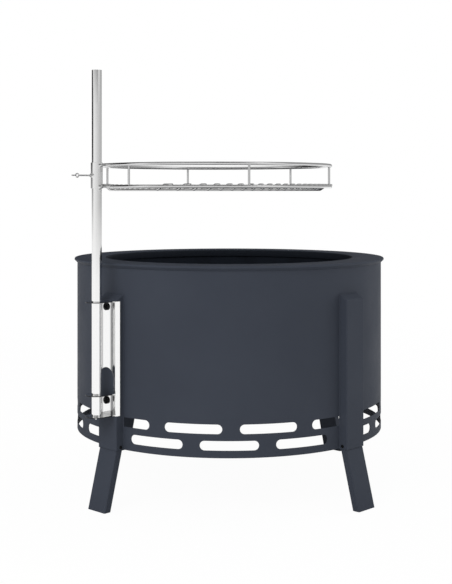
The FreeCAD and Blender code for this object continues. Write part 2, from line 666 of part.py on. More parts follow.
def make_leg_screws():
    """Screws that hold each leg in its channel, one through each side."""
    screws = []
    for index, side in enumerate(LEGS):
        for hand in (1, -1):
            name = f"leg_screw_{side}_{'a' if hand > 0 else 'b'}"
            depth = "Sizes.shell_radius + Sizes.leg_screw_depth"
            rise = f"{SKIRT} + Sizes.leg_screw_rise"
            face = "Sizes.channel_width / 2"
            shank_start = f"{face} - Sizes.leg_screw_length" if hand > 0 else f"-{face}"
            head_start = face if hand > 0 else f"-{face} - Sizes.leg_screw_head"
            shank = lying_cylinder(
                name + "_shank", "y", "Sizes.leg_screw_radius", "Sizes.leg_screw_length",
                depth, shank_start, rise,
            )
            head = lying_cylinder(
                name + "_head", "y", "Sizes.leg_screw_head_radius", "Sizes.leg_screw_head",
                depth, head_start, rise,
            )
            screws.append(place(fuse(name, [shank, head]), turn=leg_turn(index)))
    return node(group("screws", screws), "leg_screws")


def make_tab(name, top, drilled):
    """A round-ended tab that stands out from the bracket's face, with its top at the given level."""
    under = f"{top} - Sizes.bracket_sheet"
    reach = f"{POLE_DISTANCE} - ({CHANNEL_FACE})"
    strip = box(name + "_strip", reach, f"2 * {TAB_RADIUS}", "Sizes.bracket_sheet", CHANNEL_FACE, under)
    end = cylinder(name + "_end", TAB_RADIUS, "Sizes.bracket_sheet", POLE_DISTANCE, z=under)
    tab = fuse(name, [strip, end])
    if not drilled:
        return tab
    hole = cylinder(
        name + "_hole", "Sizes.pole_radius + Sizes.pole_gap",
        f"Sizes.bracket_sheet + {2 * OVERRUN}", POLE_DISTANCE, z=f"{under} - {OVERRUN}",
    )
    return cut(name + "_drilled", tab, [hole])


def make_pole_bracket():
    """Folded bracket over the front left channel: two drilled tabs guide the pole and a third carries it."""
    height = f"{BRACKET_TOP} - {BRACKET_BOTTOM}"
    inner_width = "Sizes.channel_width + 2 * Sizes.fit_gap"
    outer_width = f"{inner_width} + 2 * Sizes.bracket_sheet"
    back = f"{CHANNEL_FACE} + Sizes.bracket_sheet - Sizes.bracket_side"
    skin = box("bracket_skin", "Sizes.bracket_side", outer_width, height, back, BRACKET_BOTTOM)
    doc.recompute()
    bends = doc.addObject("Part::Fillet", "bracket_bends")
    bends.Base = skin
    front = value_of(f"{CHANNEL_FACE} + Sizes.bracket_sheet")
    picked = []
    for i, edge in enumerate(skin.Shape.Edges, start=1):
        upright = abs(edge.Vertexes[0].Z - edge.Vertexes[1].Z) > TOUCH
        if upright and abs(edge.Vertexes[0].X - front) < TOUCH:
            picked.append((i, size("bracket_bend"), size("bracket_bend")))
    bends.Edges = picked
    room = box(
        "bracket_room", f"Sizes.bracket_side - Sizes.bracket_sheet + {OVERRUN}", inner_width,
        f"{height} + {2 * OVERRUN}", f"{back} - {OVERRUN}", f"{BRACKET_BOTTOM} - {OVERRUN}",
    )
    straight = "(Sizes.pole_offset + Sizes.bracket_sheet)"
    window_box = box(
        "window_box", f"Sizes.bracket_sheet + {2 * OVERRUN}", f"2 * {TAB_RADIUS}",
        straight, f"{CHANNEL_FACE} - {OVERRUN}", TONGUE_TOP,
    )
    window_arch = lying_cylinder(
        "window_arch", "x", TAB_RADIUS, f"Sizes.bracket_sheet + {2 * OVERRUN}",
        f"{CHANNEL_FACE} - {OVERRUN}", "0", f"{TONGUE_TOP} + {straight}",
    )
    holes = [bracket_bolt_tool(f"bracket_{row}_hole", row) for row in BOLT_LEVELS]
    folded = cut("bracket_folded", bends, [room, window_box, window_arch] + holes)
    tabs = [
        make_tab("top_tab", BRACKET_TOP, True),
        make_tab("middle_tab", TONGUE_TOP, True),
        make_tab("seat_tab", f"{BRACKET_BOTTOM} + Sizes.bracket_sheet", False),
    ]
    bracket = fuse("bracket", [folded] + tabs)
    return node(place(bracket, turn="Sizes.leg_azimuth"), "pole_bracket")


def make_bracket_bolts():
    """Domed bolts that hold the bracket, each with a hexagon socket."""
    bolts = []
    seat = f"{CHANNEL_FACE} + Sizes.bracket_sheet"
    for row, z in BOLT_LEVELS.items():
        name = f"{row}_bolt"
        shank = lying_cylinder(
            name + "_shank", "x", "Sizes.bolt_radius", "Sizes.bolt_length",
            f"{seat} - Sizes.bolt_length", "0", z,
        )
        disc = lying_cylinder(name + "_disc", "x", "Sizes.bolt_head_radius", "Sizes.bolt_head", seat, "0", z)
        dome = doc.addObject("Part::Sphere", name + "_dome")
        cap = "(Sizes.bolt_head - Sizes.bolt_side)"
        curve = f"(Sizes.bolt_head_radius^2 + {cap}^2) / (2 * {cap})"
        bind(dome, Radius=curve)
        place(dome, f"{seat} + Sizes.bolt_head - {curve}", "0", z)
        head = common(name + "_head", disc, dome)
        socket = doc.addObject("Part::Prism", name + "_socket")
        socket.Polygon = 6
        bind(socket, Circumradius="Sizes.bolt_socket", Height=f"Sizes.bolt_socket_depth + {OVERRUN}")
        socket.Placement = Placement(Vector(0, 0, 0), Rotation(Vector(0, 1, 0), 90))
        socket.setExpression("Placement.Base.x", f"{seat} + Sizes.bolt_head - Sizes.bolt_socket_depth")
        socket.setExpression("Placement.Base.z", z)
        bolt = cut(name, fuse(name + "_blank", [shank, head]), [socket])
        bolts.append(place(bolt, turn="Sizes.leg_azimuth"))
    return node(group("bolts", bolts), "bracket_bolts")


def make_bracket_nuts():
    """Hexagon nuts inside the channel, on the bracket bolts."""
    nuts = []
    for row, z in BOLT_LEVELS.items():
        name = f"{row}_nut"
        prism = doc.addObject("Part::Prism", name + "_block")
        prism.Polygon = 6
        bind(prism, Circumradius="Sizes.nut_corner", Height="Sizes.nut_height")
        prism.Placement = Placement(Vector(0, 0, 0), Rotation(Vector(0, 1, 0), 90))
        start = f"{CHANNEL_FACE} - Sizes.channel_sheet - Sizes.nut_height"
        prism.setExpression("Placement.Base.x", start)
        prism.setExpression("Placement.Base.z", z)
        thread = lying_cylinder(
            name + "_thread", "x", "Sizes.bolt_radius + Sizes.fit_gap",
            f"Sizes.nut_height + {2 * OVERRUN}", f"{start} - {OVERRUN}", "0", z,
        )
        nuts.append(place(cut(name, prism, [thread]), turn="Sizes.leg_azimuth"))
    return node(group("nuts", nuts), "bracket_nuts")


def make_pole():
    """Round tube that stands on the bracket's lowest tab."""
    start = f"{BRACKET_BOTTOM} + Sizes.bracket_sheet"
    length = f"{level('Sizes.pole_top')} - ({start})"
    pole = tube("pole_tube", "Sizes.pole_radius", "Sizes.pole_radius - Sizes.pole_wall", length, start)
    return node(place(pole, POLE_X, POLE_Y), "pole")


def make_pole_plug():
    """Plug that closes the pole's top, flush with its end."""
    plug = cylinder(
        "plug", "Sizes.pole_radius - Sizes.pole_wall", "Sizes.plug_length",
        POLE_X, POLE_Y, f"{level('Sizes.pole_top')} - Sizes.plug_length",
    )
    return node(plug, "pole_plug")


def set_on_pole(thing):
    """Move a piece drawn about the pole's axis, with the grate towards +X, to its place on the pole."""
    return place(thing, POLE_X, POLE_Y, COLLAR_BOTTOM, "Sizes.grate_turn")


def screw_bar(name, radius, start, length):
    """A bar along the lock screw's axis, drawn about the pole with the grate towards +X."""
    made = doc.addObject("Part::Cylinder", name)
    bind(made, Radius=radius, Height=length)
    aim = Rotation(Vector(0, 0, 1), size("screw_turn")) * Rotation(Vector(0, 1, 0), 90)
    made.Placement = Placement(Vector(0, 0, 0), aim)
    made.setExpression("Placement.Base.x", f"({start}) * cos(Sizes.screw_turn)")
    made.setExpression("Placement.Base.y", f"({start}) * sin(Sizes.screw_turn)")
    made.setExpression("Placement.Base.z", "Sizes.screw_rise")
    return made


def make_grate_collar():
    """Sleeve that carries the grate on the pole, with a hole for the lock screw."""
    bore = "Sizes.pole_radius + Sizes.pole_gap"
    sleeve = tube("collar_sleeve", COLLAR_OUTSIDE, bore, "Sizes.collar_length")
    reach = f"{COLLAR_OUTSIDE} + {OVERRUN}"
    hole = screw_bar("collar_hole", "Sizes.screw_radius + Sizes.fit_gap", "0", reach)
    return node(set_on_pole(cut("collar", sleeve, [hole])), "grate_collar")


def make_screw_boss():
    """Threaded boss on the collar's side."""
    bar = screw_bar("boss_bar", "Sizes.boss_radius", "0", f"{COLLAR_OUTSIDE} + Sizes.boss_length")
    sleeve = cylinder("boss_sleeve", COLLAR_OUTSIDE, "Sizes.collar_length")
    reach = f"{COLLAR_OUTSIDE} + Sizes.boss_length + {OVERRUN}"
    thread = screw_bar("boss_thread", "Sizes.screw_radius + Sizes.fit_gap", "0", reach)
    return node(set_on_pole(cut("boss", bar, [sleeve, thread])), "screw_boss")


def make_lock_screw():
    """Wire screw with an eye to turn it by and a short straight tail, its tip just off the pole."""
    start = "Sizes.pole_radius + Sizes.screw_tip_gap"
    eye_inside = "Sizes.eye_distance - Sizes.eye_radius"
    shank = screw_bar("screw_shank", "Sizes.screw_radius", start, f"{eye_inside} - ({start})")
    eye = doc.addObject("Part::Torus", "screw_eye")
    bind(eye, Radius1="Sizes.eye_radius", Radius2="Sizes.eye_wire")
    aim = Rotation(Vector(0, 0, 1), size("screw_turn")) * Rotation(Vector(1, 0, 0), 90)
    eye.Placement = Placement(Vector(0, 0, 0), aim)
    eye.setExpression("Placement.Base.x", "Sizes.eye_distance * cos(Sizes.screw_turn)")
    eye.setExpression("Placement.Base.y", "Sizes.eye_distance * sin(Sizes.screw_turn)")
    eye.setExpression("Placement.Base.z", "Sizes.screw_rise")
    tail_start = "Sizes.eye_distance + Sizes.eye_radius"
    tail = screw_bar("screw_tail", "Sizes.eye_wire", tail_start, "Sizes.eye_wire + Sizes.tail_length")
    return node(set_on_pole(fuse("screw", [shank, eye, tail])), "lock_screw")


def make_grate_ring(row):
    """Wire hoop of the cooking grate, welded to the collar."""
    hoop = doc.addObject("Part::Torus", f"{row}_hoop")
    bind(hoop, Radius1="Sizes.ring_radius", Radius2="Sizes.ring_wire")
    place(hoop, GRATE_REACH, z=RING_RISES[row])
    return node(set_on_pole(group(f"{row}_ring", [hoop])), f"grate_{row}_ring")


def make_grate_posts():
    """Short upright wires between the two hoops."""
    posts = []
    count = int(size("post_count"))
    start = f"{RING_RISES['lower']} + Sizes.ring_wire - Sizes.weld_bite"
    height = f"{RING_RISES['upper']} - {RING_RISES['lower']} - 2 * (Sizes.ring_wire - Sizes.weld_bite)"
    for i in range(count):
        angle = f"(({i} + 0.5) * 360 / {count} + Sizes.basket_turn)"
        x = f"{GRATE_REACH} + Sizes.ring_radius * cos({angle})"
        y = f"Sizes.ring_radius * sin({angle})"
        posts.append(cylinder(f"post_{i + 1}", "Sizes.post_radius", height, x, y, start))
    return node(set_on_pole(group("posts", posts)), "grate_posts")


def bent_wire(points, radius):
    """A path of straight runs joined by tangent arcs."""
    edges = []
    start = points[0]
    for before, corner, after in zip(points, points[1:], points[2:]):
        back = (before - corner).normalize()
        ahead = (after - corner).normalize()
        turn = math.pi - back.getAngle(ahead)
        trim = radius * math.tan(turn / 2)
        first = corner + back * trim
        last = corner + ahead * trim
        bisector = (back + ahead).normalize()
        middle = corner + bisector * (radius / math.cos(turn / 2) - radius)
        edges.append(Part.LineSegment(start, first).toShape())
        edges.append(Part.Arc(first, middle, last).toShape())
        start = last
    edges.append(Part.LineSegment(start, points[-1]).toShape())
    return Part.Wire(edges)


def make_rod(across):
    """One rod of the cooking floor: it hangs below the lower hoop and its ends rise to lie on it."""
    low = size("lower_ring_rise") - size("rod_drop")
    high = size("lower_ring_rise") + size("ring_wire") + size("rod_radius") - size("rod_set")
    clear = size("ring_radius") - size("ring_wire") - size("rod_radius") - size("rod_gap")
    end = math.sqrt((size("ring_radius") + size("rod_over")) ** 2 - across ** 2)
    rise = math.sqrt(clear ** 2 - across ** 2)
    foot = rise - size("rod_bend_run")
    path = bent_wire([
        Vector(-end, across, high),
        Vector(-rise, across, high),
        Vector(-foot, across, low),
        Vector(foot, across, low),
        Vector(rise, across, high),
        Vector(end, across, high),
    ], size("rod_bend"))
    section = Part.Wire([Part.makeCircle(size("rod_radius"), Vector(-end, across, high), Vector(1, 0, 0))])
    return path.makePipeShell([section], True, False)


def make_grate_rods():
    """Parallel bent rods that make the cooking floor."""
    count = int(size("rod_count"))
    outermost = size("ring_radius") - size("rod_edge")
    reach = value_of(GRATE_REACH)
    turn = size("basket_turn") + size("rod_turn")
    sleeve = Part.makeCylinder(value_of(COLLAR_OUTSIDE) + size("rod_gap"), size("collar_length"))
    sleeve.translate(Rotation(Vector(0, 0, 1), -turn).multVec(Vector(-reach, 0, 0)))
    rods = [make_rod(outermost * (2 * i / (count - 1) - 1)).cut(sleeve) for i in range(count)]
    floor = doc.addObject("Part::Feature", "rods")
    floor.Shape = Part.makeCompound([solid for rod in rods for solid in rod.Solids])
    pole = Vector(value_of(POLE_X), value_of(POLE_Y), value_of(COLLAR_BOTTOM))
    on_pole = Placement(pole, Rotation(Vector(0, 0, 1), size("grate_turn")))
    on_grate = Placement(Vector(reach, 0, 0), Rotation(Vector(0, 0, 1), turn))
    floor.Placement = on_pole * on_grate
    return node(floor, "grate_rods")


make_outer_shell()
make_top_ring()
make_fire_chamber()
make_chamber_floor()
make_wall_straps()
make_ash_pan()
make_fire_grate()
for leg_index, leg_side in enumerate(LEGS):
    make_leg_channel(leg_index, leg_side)
    make_leg(leg_index, leg_side)
make_leg_screws()
make_pole_bracket()
make_bracket_bolts()
make_bracket_nuts()
make_pole()
make_pole_plug()
make_grate_collar()
make_screw_boss()
make_lock_screw()
make_grate_ring("lower")
make_grate_ring("upper")
make_grate_posts()
make_grate_rods()
doc.recompute()

for thing in doc.Objects:
    if "Invalid" in thing.State or "Error" in thing.State:
        raise RuntimeError(f"{thing.Name} did not compute: {thing.State}")

os.makedirs("parts", exist_ok=True)
for piece in nodes:
    shape = piece.Shape
    if shape.isNull() or not shape.isValid():
        raise RuntimeError(f"{piece.Label} has no valid shape")
    shape.exportStep(f"parts/{piece.Label}.step")
    box_size = shape.BoundBox
    print(f"{piece.Label}: {len(shape.Solids)} solids, {shape.Volume:.0f} mm3,"
          f" z {box_size.ZMin:.1f} to {box_size.ZMax:.1f}")
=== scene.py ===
"""Looks of a double-walled fire pit with a cooking grate that swings on a pole.

Metres and degrees. The origin is the centre of the rim's flat top, +Z is up, -Y is the front and
+X is the right.
"""

import logging
import math
from collections.abc import Callable
from dataclasses import dataclass
from enum import Enum

import bmesh
import bpy
from mathutils import Matrix, Vector


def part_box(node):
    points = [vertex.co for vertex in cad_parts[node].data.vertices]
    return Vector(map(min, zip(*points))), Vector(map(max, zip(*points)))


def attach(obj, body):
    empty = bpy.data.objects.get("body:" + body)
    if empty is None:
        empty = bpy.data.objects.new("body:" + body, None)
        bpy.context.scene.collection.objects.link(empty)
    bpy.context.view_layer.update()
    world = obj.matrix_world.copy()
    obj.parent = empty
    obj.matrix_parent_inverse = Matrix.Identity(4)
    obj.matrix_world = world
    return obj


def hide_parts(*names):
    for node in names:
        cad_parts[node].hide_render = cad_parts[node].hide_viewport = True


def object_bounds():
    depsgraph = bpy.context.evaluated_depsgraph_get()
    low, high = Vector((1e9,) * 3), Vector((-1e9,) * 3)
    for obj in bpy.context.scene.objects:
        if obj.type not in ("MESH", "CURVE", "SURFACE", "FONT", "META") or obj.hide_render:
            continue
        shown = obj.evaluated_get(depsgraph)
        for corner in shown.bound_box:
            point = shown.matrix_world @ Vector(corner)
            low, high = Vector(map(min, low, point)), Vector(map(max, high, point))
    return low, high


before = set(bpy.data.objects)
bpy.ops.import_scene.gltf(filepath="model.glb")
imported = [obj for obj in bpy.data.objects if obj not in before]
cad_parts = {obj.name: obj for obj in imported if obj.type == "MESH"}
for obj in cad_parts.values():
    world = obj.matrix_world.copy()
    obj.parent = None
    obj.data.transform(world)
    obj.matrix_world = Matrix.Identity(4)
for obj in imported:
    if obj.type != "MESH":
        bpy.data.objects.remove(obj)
CAD_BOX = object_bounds()

Colour = tuple[float, float, float]
Point = tuple[float, float]
Place = tuple[float, float, float]
Node = bpy.types.Node
Socket = bpy.types.NodeSocket
Group = bpy.types.ShaderNodeTree
Piece = bpy.types.Object
Shape = bmesh.types.BMesh
Corner = bmesh.types.BMVert
Ring = list[Corner]

LOG = logging.getLogger("fire_pit")
WHITE = (1.0, 1.0, 1.0, 1.0)
UNIT = (0.0, 1.0)
CLOUDS = (0.3, 0.7)
NOISE_ROUGHNESS = 0.55
COLOUR_MIX_INPUTS = (0, 6, 7)
COLOUR_MIX_OUTPUT = 2
SHARP_ANGLE = math.radians(40)
FOLDED_NODE = "pole_bracket"
LEGS = {"front_left": 225.0, "front_right": 315.0, "rear_right": 45.0, "rear_left": 135.0}
POLE_LEG = math.radians(LEGS["front_left"])


class Body(Enum):
    """The rigid bodies that new pieces ride on."""

    PIT = "pit"
    GRATE = "cooking_grate"
    LOCK_SCREW = "lock_screw"
    ASH_PAN = "ash_pan"


class Slot(Enum):
    """The material slots of the frame's record."""

    DARK_STEEL = "dark_steel"
    CHAMBER_STEEL = "chamber_steel"
    FIRE_IRON = "fire_iron"
    BLACK_SCREWS = "black_screws"
    BRIGHT_STEEL = "bright_steel"
    BRIGHT_WIRE = "bright_wire"
    BLACK_PLUG = "black_plug"


class Effect(Enum):
    """Surface effects that several finishes share."""

    GRAIN = "fine_grain"
    PATCHES = "soft_patches"
    LINES = "drawn_lines"
    EDGES = "bare_edges"
    SOOT = "soot_layer"


class Blend(Enum):
    """How one colour acts on another."""

    MIX = "MIX"
    MULTIPLY = "MULTIPLY"


def rgba(colour: Colour) -> tuple[float, float, float, float]:
    """A colour with full opacity."""
    return (*colour, 1.0)


def new_material(name: str) -> bpy.types.Material:
    """A new material that uses nodes.

    Args:
        name: The material's name.

    Returns:
        The new material.
    """
    material = bpy.data.materials.new(name)
    material.use_nodes = True
    return material


class NodeTree:
    """Short calls for the nodes and links of one material, world or group."""

    def __init__(self, tree: bpy.types.NodeTree) -> None:
        """Start from an empty tree."""
        self.tree = tree
        tree.nodes.clear()

    def add(self, kind: str, **settings: object) -> Node:
        """Add a node.

        Args:
            kind: The node's type without its ShaderNode prefix.
            settings: Settings of the node, by attribute name.

        Returns:
            The new node.
        """
        full = kind if kind.startswith("Node") else f"ShaderNode{kind}"
        node = self.tree.nodes.new(full)
        for name, value in settings.items():
            setattr(node, name, value)
        return node

    def plug(self, socket: Socket, value: object) -> None:
        """Link an output to an input, or set the input to a plain value.

        Args:
            socket: The input.
            value: An output socket or a plain value.
        """
        if isinstance(value, Socket):
            self.tree.links.new(value, socket)
        else:
            socket.default_value = value

    def feed(self, node: Node, **inputs: object) -> Node:
        """Set a node's inputs by their names.

        Args:
            node: The node to set up.
            inputs: Values or output sockets, by input name with spaces as underscores.

        Returns:
            The same node.
        """
        for name, value in inputs.items():
            self.plug(node.inputs[name.replace("_", " ")], value)
        return node

    def wire(self, kind: str, *values: object, **settings: object) -> Node:
        """Add a node and set its inputs in their order.

        Args:
            kind: The node's type without its ShaderNode prefix.
            values: Values or output sockets.
            settings: Settings of the node, by attribute name.

        Returns:
            The new node.
        """
        node = self.add(kind, **settings)
        for socket, value in zip(node.inputs, values):
            self.plug(socket, value)
        return node

    def mix_colours(
        self, factor: Socket, first: object, second: object, blend: Blend = Blend.MIX
    ) -> Socket:
        """Blend two colours by a mask.

        Args:
            factor: The mask, from 0 for the first colour to 1 for the second.
            first: A colour or a colour socket.
            second: A colour or a colour socket.
            blend: How the second colour acts on the first.

        Returns:
            The blended colour's socket.
        """
        node = self.add("Mix", data_type="RGBA", blend_type=blend.value)
        for place, value in zip(COLOUR_MIX_INPUTS, (factor, first, second)):
            self.plug(node.inputs[place], value)
        return node.outputs[COLOUR_MIX_OUTPUT]

    def spread(
        self, value: Socket, before: tuple[object, object], after: tuple[object, object] = UNIT
    ) -> Socket:
        """Carry a value from one range to another, held at the ends.

        Args:
            value: The socket to carry over.
            before: The range that it comes in, as numbers or sockets.
            after: The range that it goes out in, as numbers or sockets.

        Returns:
            The new value's socket.
        """
        node = self.add("MapRange")
        self.feed(node, Value=value, From_Min=before[0], From_Max=before[1])
        self.feed(node, To_Min=after[0], To_Max=after[1])
        return node.outputs["Result"]

    def sum(self, kind: str, first: object, second: object = 0.0) -> Socket:
        """A sum of two values of the given kind, such as ADD or MULTIPLY."""
        return self.wire("Math", first, second, operation=kind).outputs[0]

    def vector(self, kind: str, *values: object) -> Node:
        """A vector sum of the given kind, such as DOT_PRODUCT."""
        return self.wire("VectorMath", *values, operation=kind)

    def parts(self, vector: Socket) -> tuple[Socket, ...]:
        """The three parts of a vector."""
        return tuple(self.wire("SeparateXYZ", vector).outputs)

    def place(self) -> Socket:
        """The place on the piece, in its own frame."""
        return self.add("TexCoord").outputs["Object"]

    def normal(self) -> Socket:
        """The direction that the piece's surface faces."""
        return self.add("NewGeometry").outputs["Normal"]

    def show(self, shader: Node, kind: str = "OutputMaterial") -> None:
        """Send a shader to the tree's output."""
        self.plug(self.add(kind).inputs["Surface"], shader.outputs[0])


class EffectGroup(NodeTree):
    """A shared effect, made once as a shader node group."""

    def __init__(self, effect: Effect, inputs: dict[str, float], output: str) -> None:
        """Set up a group with value inputs and one value output.

        Args:
            effect: The effect, which names the group.
            inputs: The inputs' names and starting values.
            output: The output's name.
        """
        group = bpy.data.node_groups.new(effect.value, "ShaderNodeTree")
        for name, value in inputs.items():
            socket = group.interface.new_socket(name, in_out="INPUT", socket_type="NodeSocketFloat")
            socket.default_value = value
        group.interface.new_socket(output, in_out="OUTPUT", socket_type="NodeSocketFloat")
        super().__init__(group)
        self.into = self.add("NodeGroupInput").outputs
        self.out = self.add("NodeGroupOutput")

    def noise(self, scale: object, detail: float, along: Socket | None = None) -> Socket:
        """Cloudy noise over the piece.

        Args:
            scale: Clouds to a metre, as a number or a socket.
            detail: How many finer layers it has.
            along: The place socket to use instead of the plain one.

        Returns:
            The noise value's socket.
        """
        node = self.add("TexNoise")
        self.feed(node, Vector=along or self.place(), Scale=scale, Detail=detail)
        self.feed(node, Roughness=NOISE_ROUGHNESS)
        return node.outputs["Fac"]

    def end(self, value: Socket) -> Group:
        """Send a value to the group's output and hand the group over."""
        self.plug(self.out.inputs[0], value)
        return self.tree


def grain_group() -> Group:
    """Height of a fine, even grain, such as a powder coat's or a casting's."""
    made = EffectGroup(Effect.GRAIN, {"Scale": 900.0}, "Height")
    return made.end(made.noise(made.into["Scale"], detail=2.0))


def patches_group() -> Group:
    """A value that drifts between two ends in broad soft patches.

    Returns:
        The node group.
    """
    made = EffectGroup(Effect.PATCHES, {"Scale": 8.0, "Low": 0.0, "High": 1.0}, "Value")
    broad = made.noise(made.into["Scale"], detail=4.0)
    return made.end(made.spread(broad, CLOUDS, (made.into["Low"], made.into["High"])))


def lines_group() -> Group:
    """Fine lines that run up a drawn or polished piece.

    Returns:
        The node group.
    """
    made = EffectGroup(Effect.LINES, {"Across": 900.0, "Along": 6.0}, "Lines")
    across = made.into["Across"]
    squeeze = made.wire("CombineXYZ", across, across, made.into["Along"])
    stretched = made.vector("MULTIPLY", made.place(), squeeze.outputs[0])
    return made.end(made.noise(1.0, detail=3.0, along=stretched.outputs[0]))


def edges_group() -> Group:
    """A mask of the outer edges, broken up where the finish is thin.

    Returns:
        The node group.
    """
    turned_away = (0.97, 0.80)
    thin = (0.35, 0.65)
    least_wear = 0.25
    made = EffectGroup(Effect.EDGES, {"Radius": 0.0012, "Break": 60.0}, "Mask")
    rounded = made.feed(made.add("Bevel", samples=6), Radius=made.into["Radius"])
    facing = made.vector("DOT_PRODUCT", rounded.outputs[0], made.normal())
    edge = made.spread(facing.outputs["Value"], turned_away)
    broken = made.spread(made.noise(made.into["Break"], detail=5.0), thin, (least_wear, 1.0))
    return made.end(made.sum("MULTIPLY", edge, broken))


def soot_group() -> Group:
    """A mask of soot that thickens from a clean level down to a black one.

    Returns:
        The node group.
    """
    drift = 0.35
    made = EffectGroup(Effect.SOOT, {"Clean": 0.0, "Black": -0.2, "Cloud": 26.0}, "Mask")
    _, _, height = made.parts(made.place())
    fall = made.spread(height, (made.into["Clean"], made.into["Black"]))
    cloud = made.spread(made.noise(made.into["Cloud"], detail=5.0), CLOUDS, (-drift, drift))
    return made.end(made.spread(made.sum("ADD", fall, cloud), UNIT))


GROUP_MAKERS: dict[Effect, Callable[[], Group]] = {
    Effect.GRAIN: grain_group,
    Effect.PATCHES: patches_group,
    Effect.LINES: lines_group,
    Effect.EDGES: edges_group,
    Effect.SOOT: soot_group,
}


@dataclass(frozen=True)
class Drift:
    """A value that drifts between two ends in soft patches, so many to a metre."""

    scale: float
    low: float = 0.0
    high: float = 1.0


@dataclass(frozen=True)
class Wear:
    """Worn edges: their colour, how far in they reach, how finely they break up and how much shows."""

    colour: Colour
    reach: float
    breaks: float
    share: float = 1.0


@dataclass(frozen=True)
class Relief:
    """A fine relief: marks to a metre, the share that shows, its depth and the radius of shaded edges."""

    scale: float
    strength: float
    depth: float
    edge: float


class Surface(NodeTree):
    """One material's tree, with a Principled shader and the shared effects."""

    def __init__(self, slot: Slot) -> None:
        """Start a material.

        Args:
            slot: The slot, which names the material.
        """
        self.material = new_material(f"{slot.value}_finish")
        super().__init__(self.material.node_tree)
        self.shader = self.add("BsdfPrincipled")
        self.show(self.shader)

    def effect(self, effect: Effect, **values: float) -> Socket:
        """Place a shared effect with its own values.

        Args:
            effect: The effect to place.
            values: The group's inputs.

        Returns:
            The socket of the effect's one output.
        """
        group = bpy.data.node_groups.get(effect.value) or GROUP_MAKERS[effect]()
        node = self.add("Group", node_tree=group)
        return self.feed(node, **values).outputs[0]

    def drift(self, drift: Drift) -> Socket:
        """A value that drifts in soft patches."""
        return self.effect(Effect.PATCHES, Scale=drift.scale, Low=drift.low, High=drift.high)

    def bump(self, height: Socket, relief: Relief, lean: Socket | None = None) -> None:
        """Raise the surface by a height and round its edges.

        Args:
            height: The height's socket, from 0 to 1.
            relief: How much of the height shows, how deep it is and how round the edges look.
            lean: A socket that is added to the surface's direction.
        """
        facing = self.feed(self.add("Bevel", samples=4), Radius=relief.edge).outputs[0]
        if lean:
            leant = self.vector("ADD", facing, lean)
            facing = self.vector("NORMALIZE", leant.outputs[0]).outputs[0]
        node = self.feed(self.add("Bump"), Height=height, Strength=relief.strength, Normal=facing)
        self.feed(node, Distance=relief.depth)
        self.feed(self.shader, Normal=node.outputs[0])

    def grain(self, relief: Relief) -> None:
        """Raise the surface by a fine even grain."""
        self.bump(self.effect(Effect.GRAIN, Scale=relief.scale), relief)


@dataclass(frozen=True)
class Finish:
    """A finish in two tones, with worn edges, a drifting roughness and a fine grain."""

    colour: Colour
    pale: Colour
    tone: Drift
    rough: Drift
    grain: Relief
    wear: Wear | None = None
    gloss: float = 0.5
    metal: float = 0.0

    def top_layer(self, surface: Surface, colour: Socket) -> Socket:
        """The colour with whatever lies on top of the finish."""
        return colour

    def paint(self, surface: Surface) -> None:
        """Set up the finish.

        Args:
            surface: The tree of the material that takes it.
        """
        colour = surface.mix_colours(surface.drift(self.tone), rgba(self.colour), rgba(self.pale))
        if self.wear:
            edges = surface.effect(Effect.EDGES, Radius=self.wear.reach, Break=self.wear.breaks)
            worn = surface.sum("MULTIPLY", edges, self.wear.share)
            colour = surface.mix_colours(worn, colour, rgba(self.wear.colour))
        surface.feed(surface.shader, Base_Color=self.top_layer(surface, colour))
        surface.feed(surface.shader, Roughness=surface.drift(self.rough))
        surface.feed(surface.shader, Specular_IOR_Level=self.gloss, Metallic=self.metal)
        surface.grain(self.grain)


@dataclass(frozen=True)
class CoatedSteel(Finish):
    """Satin powder coat on folded sheet, with painted shade on the rim's inner lip at the mouth."""

    colour: Colour = (0.0382, 0.0445, 0.0598)
    pale: Colour = (0.0432, 0.0503, 0.0668)
    tone: Drift = Drift(5.0)
    rough: Drift = Drift(14.0, low=0.56, high=0.66)
    grain: Relief = Relief(1100.0, strength=0.18, depth=0.00012, edge=0.0008)
    wear: Wear = Wear((0.060, 0.068, 0.084), reach=0.0010, breaks=90.0, share=0.5)
    gloss: float = 0.12
    inner_lip_painted_shade: Colour = (0.0122, 0.0152, 0.0218)
    painted_shade_radius: Point = (0.2500, 0.2482)

    def top_layer(self, surface: Surface, colour: Socket) -> Socket:
        """The coat with painted shade over the rim's inner lip.

        Args:
            surface: The material's tree.
            colour: The coat's own colour.

        Returns:
            The colour's socket, with the painted shade.
        """
        # Painted shade: inside the mouth's radius, the rim's inner lip is coloured near black.
        level = surface.vector("MULTIPLY", surface.place(), (1.0, 1.0, 0.0))
        reach = surface.vector("LENGTH", level.outputs[0]).outputs["Value"]
        return surface.mix_colours(surface.spread(reach, self.painted_shade_radius), colour, rgba(self.inner_lip_painted_shade))


@dataclass(frozen=True)
class CastIron(Finish):
    """Rough cast bars, worn brighter along their edges."""

    colour: Colour = (0.020, 0.020, 0.021)
    pale: Colour = (0.034, 0.033, 0.032)
    tone: Drift = Drift(35.0)
    rough: Drift = Drift(60.0, low=0.55, high=0.78)
    grain: Relief = Relief(620.0, strength=0.5, depth=0.0005, edge=0.0012)
    wear: Wear = Wear((0.085, 0.082, 0.078), reach=0.0018, breaks=120.0)
    metal: float = 0.35


@dataclass(frozen=True)
class BlackenedSteel(Finish):
    """Oiled black fasteners."""

    colour: Colour = (0.0060, 0.0062, 0.0066)
    pale: Colour = (0.0060, 0.0062, 0.0066)
    tone: Drift = Drift(240.0)
    rough: Drift = Drift(240.0, low=0.28, high=0.44)
    grain: Relief = Relief(2200.0, strength=0.1, depth=0.00006, edge=0.0004)
    wear: Wear = Wear((0.030, 0.030, 0.031), reach=0.0004, breaks=400.0)
    gloss: float = 0.08


